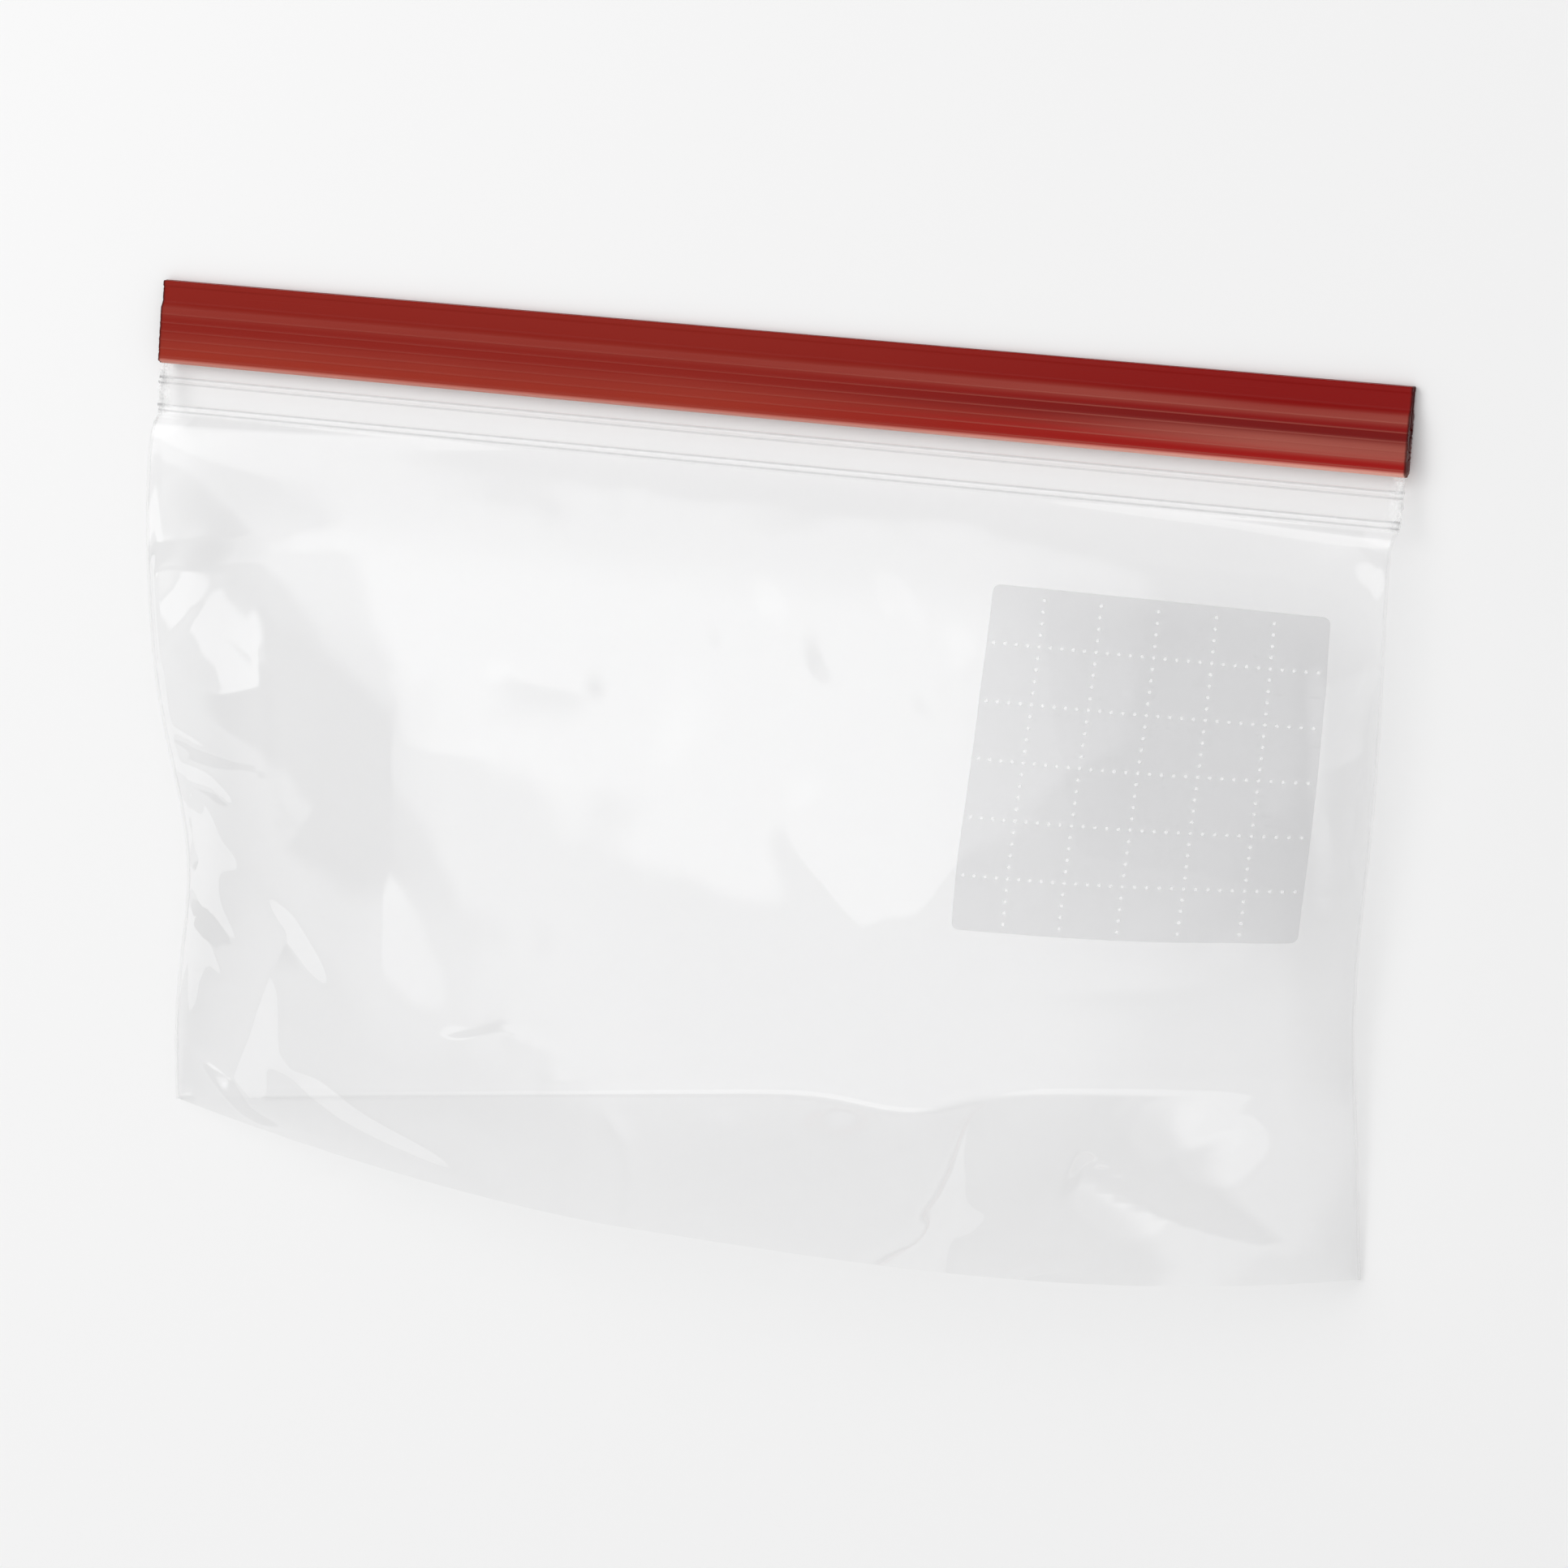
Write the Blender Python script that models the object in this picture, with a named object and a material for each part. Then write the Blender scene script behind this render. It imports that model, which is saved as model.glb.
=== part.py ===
"""Freezer bag with a red double closing strip, lying on its back.

The bag is empty and shut.  Its two films are one clear pouch, thin where it
hangs from the closing strip and opened out towards the bottom fold, which
stands clear of the floor.  The strip and the clear second track below it
each have a front and a back half, and a rib of the front half sits in a
groove of the back half.  A grey writing panel is printed on the front film.

Frame: +X along the closing strip, +Y from the bottom fold to the strip,
+Z up, with the origin under the middle of the bag.  Metres.
"""
import math

import bmesh
import bpy

MM = 0.001

# Driving sizes of the flat bag.
BAG_HEIGHT = 152.4 * MM
STRIP_LENGTH = 234.8 * MM
STRIP_HEIGHT = 14.6 * MM
TRACK_HEIGHT = 8.6 * MM
PIECE_GAP = 0.3 * MM
CLOSURE_TILT = 0.15

# The strip's halves, measured from the plane between them.
HALF_GAP = 0.15 * MM
LIP_RISE = 0.45 * MM
LIP_BEAD_RISE = 0.65 * MM
LIP_LENGTH = 3.4 * MM
GRIP_RISE = 1.10 * MM
GRIP_SLOPE = 1.5 * MM
RIDGE_RISE = 0.18 * MM
RIDGE_WIDTH = 0.5 * MM
RIDGE_COUNT = 6
RIDGE_PITCH = 1.52 * MM
HEM_RISE = 0.35 * MM

# The closing ribs: two in the strip, and a smaller one in the clear track.
STRIP_RIBS = (7.6 * MM, 11.2 * MM)
STRIP_RIB_WIDTH = 1.0 * MM
STRIP_RIB_DEPTH = 0.5 * MM
TRACK_RIBS = (2.6 * MM,)
TRACK_RIB_WIDTH = 0.5 * MM
TRACK_RIB_DEPTH = 0.35 * MM

# The clear track: a thin band with a bead along each of its two lines.
BAND_RISE = 0.45 * MM
BEAD_RISE = 0.95 * MM
BEAD_WIDTH = 1.8 * MM
TRACK_BEADS = (2.6 * MM, 7.5 * MM)

# The pouch.
SEAM_THICKNESS = 0.8 * MM
POUCH_TOP_THICKNESS = 0.9 * MM
LEFT_EDGE = 116.7 * MM
RIGHT_EDGE = 116.0 * MM
LEFT_PULL_IN = 5.3 * MM
LEFT_PULL_PLACE = 48.0 * MM
LEFT_PULL_REACH = 24.0 * MM
RIGHT_PULL_IN = 3.8 * MM
RIGHT_PULL_PLACE = 46.0 * MM
RIGHT_PULL_REACH = 34.0 * MM
RIGHT_CORNER_PULL = 1.4 * MM
RIGHT_CORNER_REACH = 25.0 * MM
LEFT_SEAM_LIFT = 6.5 * MM
RIGHT_SEAM_LIFT = 4.4 * MM
FOLD_LIFT = 32.5 * MM
FOLD_CREST = -0.08
FOLD_LEFT_POWER = 1.5
FOLD_RIGHT_POWER = 3.5
BULGE_OVER_FOLD = 1.09
BULGE_TURN = 0.63 * math.pi
BULGE_POWER = 1.3
PILLOW_POWER = 2.4
CREASE_RISE = 33.6 * MM
CREASE_LEAST = 0.8 * MM
CREASE_DIP = 3.6 * MM
CREASE_DIP_PLACE = 0.28
CREASE_DIP_REACH = 0.12
FLAT_BACK = 0.80
TOUCH_DOWN = 0.20

# The printed writing panel, by its places across and along the front film.
PANEL_LEFT_TOP = 0.412
PANEL_LEFT_FOOT = 0.441
PANEL_RIGHT = 0.923
PANEL_TOP = 114.4 * MM
PANEL_FOOT = 59.6 * MM
PANEL_THICKNESS = 0.12 * MM
PANEL_STEPS = 12

STATIONS = 44
FRONT_STEPS = 20
WALL_STEPS = 3
BACK_STEPS = 12

# The lip's bead rests on the floor, and the plane between the halves rises
# from it towards the pouch.
MID_PLANE = LIP_BEAD_RISE
MIDDLE = BAG_HEIGHT / 2
STRIP_TOP = BAG_HEIGHT
TRACK_TOP = STRIP_TOP - STRIP_HEIGHT - PIECE_GAP
POUCH_TOP = TRACK_TOP - TRACK_HEIGHT - PIECE_GAP

GREY = (0.62, 0.62, 0.62, 1.0)
RED = (0.29, 0.009, 0.006, 1.0)
CLEAR = (0.86, 0.87, 0.87, 1.0)


def clear_scene():
    """Remove every object, so the bag is alone in the file."""
    for item in list(bpy.data.objects):
        bpy.data.objects.remove(item, do_unlink=True)


def make_material(name, color, roughness, alpha):
    """Return a Principled plastic of one colour."""
    material = bpy.data.materials.new(name)
    material.use_nodes = True
    shader = material.node_tree.nodes["Principled BSDF"]
    shader.inputs["Base Color"].default_value = color
    shader.inputs["Roughness"].default_value = roughness
    shader.inputs["Metallic"].default_value = 0.0
    shader.inputs["Alpha"].default_value = alpha
    return material


def hump(value, place, reach):
    """Return a smooth hump of height 1 at place, fading over reach."""
    return math.exp(-((value - place) / reach) ** 2)


def mix(first, second, share):
    """Return the value that lies share of the way from first to second."""
    return first + (second - first) * share


def down(y):
    """Return how far down the pouch y lies: 0 at its top, 1 at its fold."""
    return min(1.0, max(0.0, 1 - y / POUCH_TOP))


def closure_lift(y):
    """Return how far the tilted closure has lifted the plane at y."""
    lift = CLOSURE_TILT * (STRIP_TOP - max(y, POUCH_TOP))
    return lift * (1 - down(y)) ** 3


def seam_lift(y, most):
    """Return the height of a side seam above the plane between the halves."""
    return most * math.sin(math.pi * math.sqrt(down(y)))


def left_edge(y):
    """Return the distance of the left seam from the middle."""
    return LEFT_EDGE - LEFT_PULL_IN * hump(y, LEFT_PULL_PLACE, LEFT_PULL_REACH)


def right_edge(y):
    """Return the distance of the right seam from the middle."""
    pulled = RIGHT_PULL_IN * hump(y, RIGHT_PULL_PLACE, RIGHT_PULL_REACH)
    corner = RIGHT_CORNER_PULL * hump(y, 0.0, RIGHT_CORNER_REACH)
    return RIGHT_EDGE - pulled - corner


def across(side, y):
    """Return x for side, which runs from -1 at the left seam to 1."""
    return mix(-left_edge(y), right_edge(y), (side + 1) / 2)


def fold_height(side):
    """Return the height of the bottom fold above the plane."""
    if side < FOLD_CREST:
        away = (FOLD_CREST - side) / (1 + FOLD_CREST)
        return FOLD_LIFT * (1 - away ** FOLD_LEFT_POWER)
    away = (side - FOLD_CREST) / (1 - FOLD_CREST)
    return FOLD_LIFT * (1 - away ** FOLD_RIGHT_POWER)


def front_height(side, y):
    """Return the height of the front film above the plane."""
    depth = down(y)
    rise = BULGE_OVER_FOLD * max(0.0, math.sin(BULGE_TURN * depth)) ** BULGE_POWER
    pillow = FOLD_LIFT * (1 - abs(side) ** PILLOW_POWER)
    swell = rise * mix(pillow, fold_height(side), depth ** 2)
    lift = seam_lift(y, LEFT_SEAM_LIFT if side < 0 else RIGHT_SEAM_LIFT)
    thickness = mix(POUCH_TOP_THICKNESS, SEAM_THICKNESS, depth)
    return swell + lift * side * side + thickness / 2


def back_height(side, y):
    """Return the height of the back film, which lies on the floor inside."""
    depth = down(y)
    lift = seam_lift(y, LEFT_SEAM_LIFT if side < 0 else RIGHT_SEAM_LIFT)
    thickness = mix(POUCH_TOP_THICKNESS, SEAM_THICKNESS, depth)
    edge = lift - thickness / 2
    landed = math.sin(math.pi / 2 * min(1.0, depth / TOUCH_DOWN)) ** 2
    floor = mix(-thickness / 2, -MID_PLANE - closure_lift(y), landed)
    outward = max(0.0, (abs(side) - FLAT_BACK) / (1 - FLAT_BACK))
    return mix(floor, edge, outward ** 2)


def crease_place(side):
    """Return y of the crease where the back film turns up to the fold."""
    rise = CREASE_RISE * (side + 1) / 2
    dip = CREASE_DIP * hump(side, CREASE_DIP_PLACE, CREASE_DIP_REACH)
    return max(CREASE_LEAST, rise - dip)


def pouch_section(side):
    """Return the closed outline of the pouch at one distance from its middle."""
    points = []
    for step in range(FRONT_STEPS + 1):
        y = POUCH_TOP * (1 - step / FRONT_STEPS)
        points.append((across(side, y), y, front_height(side, y)))
    crease = crease_place(side)
    crease_height = back_height(side, crease)
    fold = front_height(side, 0.0) - SEAM_THICKNESS
    for step in range(WALL_STEPS):
        share = step / WALL_STEPS
        y = mix(0.25 * SEAM_THICKNESS, crease, share)
        points.append((across(side, y), y, mix(fold, crease_height, share)))
    for step in range(BACK_STEPS + 1):
        y = mix(crease, POUCH_TOP, step / BACK_STEPS)
        points.append((across(side, y), y, back_height(side, y)))
    return points


def station(index):
    """Return the side of a section, with the sections closer near the seams."""
    even = 2 * index / STATIONS - 1
    return mix(even, math.sin(even * math.pi / 2), 0.6)


def in_frame(point):
    """Move a point measured from the fold and the plane to the bag's frame."""
    x, y, height = point
    return (x, y - MIDDLE, height + MID_PLANE + closure_lift(y))


def loft(name, sections, material):
    """Return a closed object bridged through the sections, with flat ends."""
    bm = bmesh.new()
    rings = []
    for section in sections:
        verts = [bm.verts.new(in_frame(point)) for point in section]
        edges = [bm.edges.new((verts[i - 1], verts[i])) for i in range(len(verts))]
        rings.append(edges)
    for first, second in zip(rings, rings[1:]):
        bmesh.ops.bridge_loops(bm, edges=first + second)
    for ring in (rings[0], rings[-1]):
        bmesh.ops.triangle_fill(bm, use_beauty=True, use_dissolve=False, edges=ring)
    bmesh.ops.triangulate(bm, faces=bm.faces[:])
    bmesh.ops.recalc_face_normals(bm, faces=bm.faces[:])
    mesh = bpy.data.meshes.new(name)
    bm.to_mesh(mesh)
    bm.free()
    mesh.materials.append(material)
    item = bpy.data.objects.new(name, mesh)
    bpy.context.scene.collection.objects.link(item)
    return item


def make_pouch(material):
    """Build the film pouch from the left seam to the right one."""
    sections = [pouch_section(station(index)) for index in range(STATIONS + 1)]
    return loft("film_pouch", sections, material)


def panel_section(share):
    """Return the thin outline of the panel, share of the way across it."""
    points = []
    for raised in (PIECE_GAP + PANEL_THICKNESS, PIECE_GAP):
        for step in range(PANEL_STEPS + 1):
            along = step / PANEL_STEPS
            side = mix(mix(PANEL_LEFT_TOP, PANEL_LEFT_FOOT, along), PANEL_RIGHT, share)
            y = mix(PANEL_TOP, PANEL_FOOT, along)
            points.append((across(side, y), y, front_height(side, y) + raised))
    return points[:PANEL_STEPS + 1] + points[:PANEL_STEPS:-1]


def make_panel(material):
    """Build the writing panel that is printed on the front film."""
    sections = [panel_section(step / PANEL_STEPS) for step in range(PANEL_STEPS + 1)]
    return loft("writing_panel", sections, material)


def bar(name, outline, material):
    """Build a bar along the closing strip from its (y, z) outline."""
    ends = (-STRIP_LENGTH / 2, STRIP_LENGTH / 2)
    sections = [[(x, y, z) for y, z in outline] for x in ends]
    return loft(name, sections, material)


def strip_outer_face():
    """Return (distance below the lip, rise) along the strip's outer face."""
    face = [(0.0, 0.6 * LIP_RISE)]
    face.append((0.25 * MM, LIP_BEAD_RISE))
    face.append((0.75 * MM, LIP_BEAD_RISE))
    face.append((1.05 * MM, LIP_RISE))
    face.append((LIP_LENGTH, LIP_RISE))
    start = LIP_LENGTH + GRIP_SLOPE
    face.append((mix(LIP_LENGTH, start, 0.4), mix(LIP_RISE, GRIP_RISE, 0.22)))
    face.append((mix(LIP_LENGTH, start, 0.75), mix(LIP_RISE, GRIP_RISE, 0.85)))
    face.append((start, GRIP_RISE))
    for index in range(RIDGE_COUNT):
        ridge = start + (index + 0.6) * RIDGE_PITCH
        face.append((ridge - RIDGE_WIDTH / 2, GRIP_RISE))
        face.append((ridge - RIDGE_WIDTH / 6, GRIP_RISE + RIDGE_RISE))
        face.append((ridge + RIDGE_WIDTH / 6, GRIP_RISE + RIDGE_RISE))
        face.append((ridge + RIDGE_WIDTH / 2, GRIP_RISE))
    face.append((STRIP_HEIGHT - 0.25 * MM, mix(GRIP_RISE, HEM_RISE, 0.6)))
    face.append((STRIP_HEIGHT, HEM_RISE))
    return face


def track_outer_face():
    """Return (distance below the track's top, rise) along its outer face."""
    face = [(0.0, BAND_RISE)]
    for bead in TRACK_BEADS:
        face.append((bead - BEAD_WIDTH / 2, BAND_RISE))
        face.append((bead - BEAD_WIDTH / 4, BEAD_RISE))
        face.append((bead + BEAD_WIDTH / 4, BEAD_RISE))
        face.append((bead + BEAD_WIDTH / 2, BAND_RISE))
    face.append((TRACK_HEIGHT, BAND_RISE))
    return face


def inner_face(height, ribs, width, depth):
    """Return the inner face from the bottom up, with ribs or, below, grooves."""
    face = [(height, HALF_GAP)]
    for rib in reversed(ribs):
        face.append((rib + width / 2, HALF_GAP))
        face.append((rib + width / 2, HALF_GAP - depth))
        face.append((rib - width / 2, HALF_GAP - depth))
        face.append((rib - width / 2, HALF_GAP))
    face.append((0.0, HALF_GAP))
    return face


def half_outline(top, outer, inner, facing):
    """Return a half's (y, z) outline, facing 1 in front and -1 behind."""
    return [(top - below, facing * rise) for below, rise in outer + inner]


def make_closure(name, top, height, outer, ribs, width, depth, material):
    """Build the front half with its ribs and the back half with its grooves."""
    rib_face = inner_face(height, ribs, width, depth)
    groove_width = width + 2 * PIECE_GAP
    groove_depth = -(depth + PIECE_GAP - 2 * HALF_GAP)
    groove_face = inner_face(height, ribs, groove_width, groove_depth)
    bar(name + "_front", half_outline(top, outer, rib_face, 1), material)
    bar(name + "_back", half_outline(top, outer, groove_face, -1), material)


def main():
    """Build the pouch with its panel, the red strip and the clear track."""
    clear_scene()
    red = make_material("red_strip_plastic", RED, 0.3, 1.0)
    film = make_material("clear_film", CLEAR, 0.12, 0.2)
    track = make_material("clear_track_plastic", CLEAR, 0.2, 0.4)
    print_grey = make_material("grey_print", GREY, 0.5, 0.7)
    make_pouch(film)
    make_panel(print_grey)
    make_closure("closing_strip", STRIP_TOP, STRIP_HEIGHT, strip_outer_face(),
                 STRIP_RIBS, STRIP_RIB_WIDTH, STRIP_RIB_DEPTH, red)
    make_closure("clear_track", TRACK_TOP, TRACK_HEIGHT, track_outer_face(),
                 TRACK_RIBS, TRACK_RIB_WIDTH, TRACK_RIB_DEPTH, track)


main()
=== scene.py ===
"""Looks for a zip freezer bag: clear film, red ridged strip, clear track, grey panel.

The bag lies on its back, empty and shut.  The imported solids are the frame, and
every piece here stands for one of them, or is fitted to them.  Lengths are in
millimetres and are turned to metres where a vertex is placed.  The bag's own
coordinates run along the strip (x), from the bottom fold to the strip's lip
(y), and out of the plane between the two halves (height).
"""
import logging
import math
from collections.abc import Mapping, Sequence
from dataclasses import dataclass, field
from enum import Enum

import bmesh
import bpy
from mathutils import Matrix, Vector, noise

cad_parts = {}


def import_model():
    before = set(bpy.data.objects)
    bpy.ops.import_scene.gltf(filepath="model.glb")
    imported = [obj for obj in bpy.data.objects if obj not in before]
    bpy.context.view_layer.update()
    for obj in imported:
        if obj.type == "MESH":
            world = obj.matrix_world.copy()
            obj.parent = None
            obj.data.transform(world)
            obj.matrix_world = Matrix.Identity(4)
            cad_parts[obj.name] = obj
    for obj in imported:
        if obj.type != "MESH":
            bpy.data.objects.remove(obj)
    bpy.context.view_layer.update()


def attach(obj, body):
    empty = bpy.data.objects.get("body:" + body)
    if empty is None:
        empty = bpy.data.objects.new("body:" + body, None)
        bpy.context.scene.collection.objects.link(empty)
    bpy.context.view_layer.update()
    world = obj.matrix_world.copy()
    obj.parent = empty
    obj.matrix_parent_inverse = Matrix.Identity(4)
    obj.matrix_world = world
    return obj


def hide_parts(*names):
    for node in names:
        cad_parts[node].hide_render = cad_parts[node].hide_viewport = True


MM = 0.001
LOG = logging.getLogger("freezer_bag")

Point = tuple[float, float]
Triple = tuple[float, float, float]
Color = tuple[float, float, float, float]
Band = tuple[Point, Point]
Mesh = bmesh.types.BMesh
Vert = bmesh.types.BMVert
Socket = bpy.types.NodeSocket
Material = bpy.types.Material
Piece = bpy.types.Object


class Face(Enum):
    """Which side of the plane between the halves a piece lies on."""

    FRONT = 1
    BACK = -1


class Hand(Enum):
    """Which end of the bag a seam closes."""

    LEFT = -1
    RIGHT = 1


def mix(first: float, second: float, share: float) -> float:
    """Return the value that lies share of the way from first to second."""
    return first + (second - first) * share


def clamp(value: float) -> float:
    """Return value kept between 0 and 1."""
    return min(1.0, max(0.0, value))


def smooth(value: float) -> float:
    """Return a soft step from 0 at value 0 to 1 at value 1."""
    held = clamp(value)
    return held * held * (3 - 2 * held)


def hump(value: float, place: float, reach: float) -> float:
    """Return a smooth hump of height 1 at place, fading over reach."""
    return math.exp(-((value - place) / reach) ** 2)


# Shader maths


@dataclass(frozen=True)
class Wire:
    """A value socket on a bench, whose arithmetic adds Math nodes to the tree."""

    bench: "Bench"
    socket: Socket

    def math(self, operation: str, *others: "Wire | float") -> "Wire":
        """Return a Math node's result on this value and the others."""
        return self.bench.math(operation, self, *others)

    def __add__(self, other: "Wire | float") -> "Wire":
        """Add a value."""
        return self.math("ADD", other)

    __radd__ = __add__

    def __sub__(self, other: "Wire | float") -> "Wire":
        """Subtract a value."""
        return self.math("SUBTRACT", other)

    def __rsub__(self, other: float) -> "Wire":
        """Subtract this from a number."""
        return self.bench.math("SUBTRACT", other, self)

    def __mul__(self, other: "Wire | float") -> "Wire":
        """Multiply by a value."""
        return self.math("MULTIPLY", other)

    __rmul__ = __mul__

    def __truediv__(self, other: "Wire | float") -> "Wire":
        """Divide by a value."""
        return self.math("DIVIDE", other)

    def __pow__(self, other: "Wire | float") -> "Wire":
        """Raise to a power."""
        return self.math("POWER", other)

    def __abs__(self) -> "Wire":
        """Return the absolute value."""
        return self.math("ABSOLUTE")

    def step(self, low: float, high: float) -> "Wire":
        """Return a soft step of this value: 0 at low and 1 at high."""
        made = self.bench.node(
            "ShaderNodeMapRange", {"interpolation_type": "SMOOTHSTEP"},
            {"Value": self, "From Min": low, "From Max": high})
        return Wire(self.bench, made.outputs["Result"])

    def band(self, rise: Point, fall: Point) -> "Wire":
        """Return a band that comes in over rise and goes out again over fall."""
        return self.step(*rise) * (1 - self.step(*fall))

    def ramp(self, base: float, gain: float) -> "Wire":
        """Return base plus gain times this value."""
        return base + gain * self


class Bench:
    """Adds nodes to one tree."""

    def __init__(self, tree: bpy.types.NodeTree) -> None:
        """Clear the node tree of a material or a world, and hold it."""
        self.tree = tree
        tree.nodes.clear()

    def node(self, kind: str, settings: Mapping[str, object] | None = None,
             sockets: Mapping[str | int, object] | None = None) -> bpy.types.Node:
        """Add one node.

        Args:
            kind: The node's type.
            settings: The node's own settings.
            sockets: Values or links of its inputs, by name or number.

        Returns:
            The new node.
        """
        made = self.tree.nodes.new(kind)
        for name, value in (settings or {}).items():
            setattr(made, name, value)
        for name, value in (sockets or {}).items():
            self.feed(made.inputs[name], value)
        return made

    def feed(self, target: Socket, value: object) -> None:
        """Link a wire or a socket to an input, or set its value.

        Args:
            target: The input socket.
            value: A wire, a socket, a number, a colour or a vector.
        """
        if isinstance(value, Wire):
            self.tree.links.new(value.socket, target)
        elif isinstance(value, Socket):
            self.tree.links.new(value, target)
        else:
            target.default_value = value

    def math(self, operation: str, *values: Wire | float) -> Wire:
        """Return a Math node's result on one to three values."""
        made = self.node("ShaderNodeMath", {"operation": operation},
                         dict(enumerate(values)))
        return Wire(self, made.outputs[0])

    def coordinates(self, kind: str) -> Socket:
        """Return one output of a Texture Coordinate node."""
        return self.node("ShaderNodeTexCoord").outputs[kind]

    def split(self, vector: Socket) -> tuple[Wire, Wire, Wire]:
        """Return the three parts of a vector as wires."""
        parts = self.node("ShaderNodeSeparateXYZ", None, {"Vector": vector}).outputs
        return Wire(self, parts[0]), Wire(self, parts[1]), Wire(self, parts[2])

    def dot(self, vector: Socket, other: Sequence[float]) -> Wire:
        """Return the dot product of a vector and a fixed one."""
        made = self.node("ShaderNodeVectorMath", {"operation": "DOT_PRODUCT"},
                         {0: vector, 1: other})
        return Wire(self, made.outputs["Value"])

    def stretch(self, vector: Socket, scale: Sequence[float]) -> Socket:
        """Return a vector multiplied part by part."""
        made = self.node("ShaderNodeVectorMath", {"operation": "MULTIPLY"},
                         {0: vector, 1: scale})
        return made.outputs["Vector"]

    def speckle(self, vector: Socket, scale: float, detail: float = 2.0) -> Wire:
        """Return noise round one half that repeats scale times in a metre."""
        made = self.node("ShaderNodeTexNoise", None,
                         {"Vector": vector, "Scale": scale, "Detail": detail})
        return Wire(self, made.outputs["Fac"])

    def blend(self, share: Wire, first: object, second: object) -> Socket:
        """Return a colour that lies share of the way from first to second."""
        made = self.node("ShaderNodeMix", {"data_type": "RGBA"},
                         {0: share, 6: first, 7: second})
        return made.outputs[2]

    def bump(self, height: Wire, depth: float) -> Socket:
        """Return a normal bent by a height from 0 to 1, which is depth metres high."""
        made = self.node("ShaderNodeBump", None,
                         {"Strength": 1.0, "Distance": depth, "Height": height})
        return made.outputs["Normal"]

    def facing(self) -> Wire:
        """Return 0 where the surface faces the eye and 1 at its edge."""
        made = self.node("ShaderNodeLayerWeight", None, {"Blend": 0.5})
        return Wire(self, made.outputs["Facing"])

    def plastic(self, sockets: Mapping[str | int, object]) -> Socket:
        """Return a Principled shader with the given inputs."""
        return self.node("ShaderNodeBsdfPrincipled", None, sockets).outputs[0]

    def clear(self, tint: Color) -> Socket:
        """Return a see-through shader."""
        return self.node("ShaderNodeBsdfTransparent", None, {"Color": tint}).outputs[0]

    def layer(self, share: Wire | float, under: Socket, over: Socket) -> Socket:
        """Return a mix of two shaders, of which share is the upper one."""
        return self.node("ShaderNodeMixShader", None,
                         {0: share, 1: under, 2: over}).outputs[0]

    def show(self, shader: Socket, kind: str = "ShaderNodeOutputMaterial") -> None:
        """Make a shader the surface of the tree's output."""
        self.node(kind, None, {"Surface": shader})


# Finishes


@dataclass(frozen=True)
class Finish:
    """A finish, whose shader method lays out the nodes of its material."""

    name: str

    def shader(self, bench: Bench) -> Socket:
        """Return the surface's shader, laid out on the bench."""
        raise NotImplementedError

    def make(self) -> Material:
        """Make the material and lay out its nodes.

        Returns:
            The material.
        """
        material = bpy.data.materials.new(self.name)
        material.use_nodes = True
        bench = Bench(material.node_tree)
        bench.show(self.shader(bench))
        return material


@dataclass(frozen=True)
class ClearFilm(Finish):
    """Thin clear polyethylene: see-through, with a gloss that grows at its edges.

    One soft spot of the film has less gloss, which dims the glint of the surroundings seen
    there: a painted shade over that reflection.
    """

    name: str = "clear_film"
    tint: Color = (0.997, 0.997, 0.998, 1.0)
    gloss_color: Color = (0.98, 0.98, 0.98, 1.0)
    gloss: float = 0.085
    edge_gloss: float = 0.75
    edge_power: float = 4.0
    roughness: float = 0.0
    glint_dimming: float = 0.55
    dimmed_glint_place: Triple = (-0.050, -0.036, 0.028)
    dimmed_glint_reach: Point = (0.010, 0.021)

    def shader(self, bench: Bench) -> Socket:
        """Lay out the surface's shader.

        Args:
            bench: The bench that holds the material's tree.

        Returns:
            The shader's socket.
        """
        sheen = bench.plastic({"Base Color": self.gloss_color, "Metallic": 1.0,
                               "Roughness": self.roughness})
        # Painted shade: less gloss in one soft spot dims the glint that the film shows there.
        away = bench.node("ShaderNodeVectorMath", {"operation": "DISTANCE"},
                          {0: bench.coordinates("Object"), 1: self.dimmed_glint_place})
        glint_dim = 1 - Wire(bench, away.outputs["Value"]).step(*self.dimmed_glint_reach)
        edge = bench.facing() ** self.edge_power
        share = self.gloss * (1 - self.glint_dimming * glint_dim) + self.edge_gloss * edge
        return bench.layer(share, bench.clear(self.tint), sheen)


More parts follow.
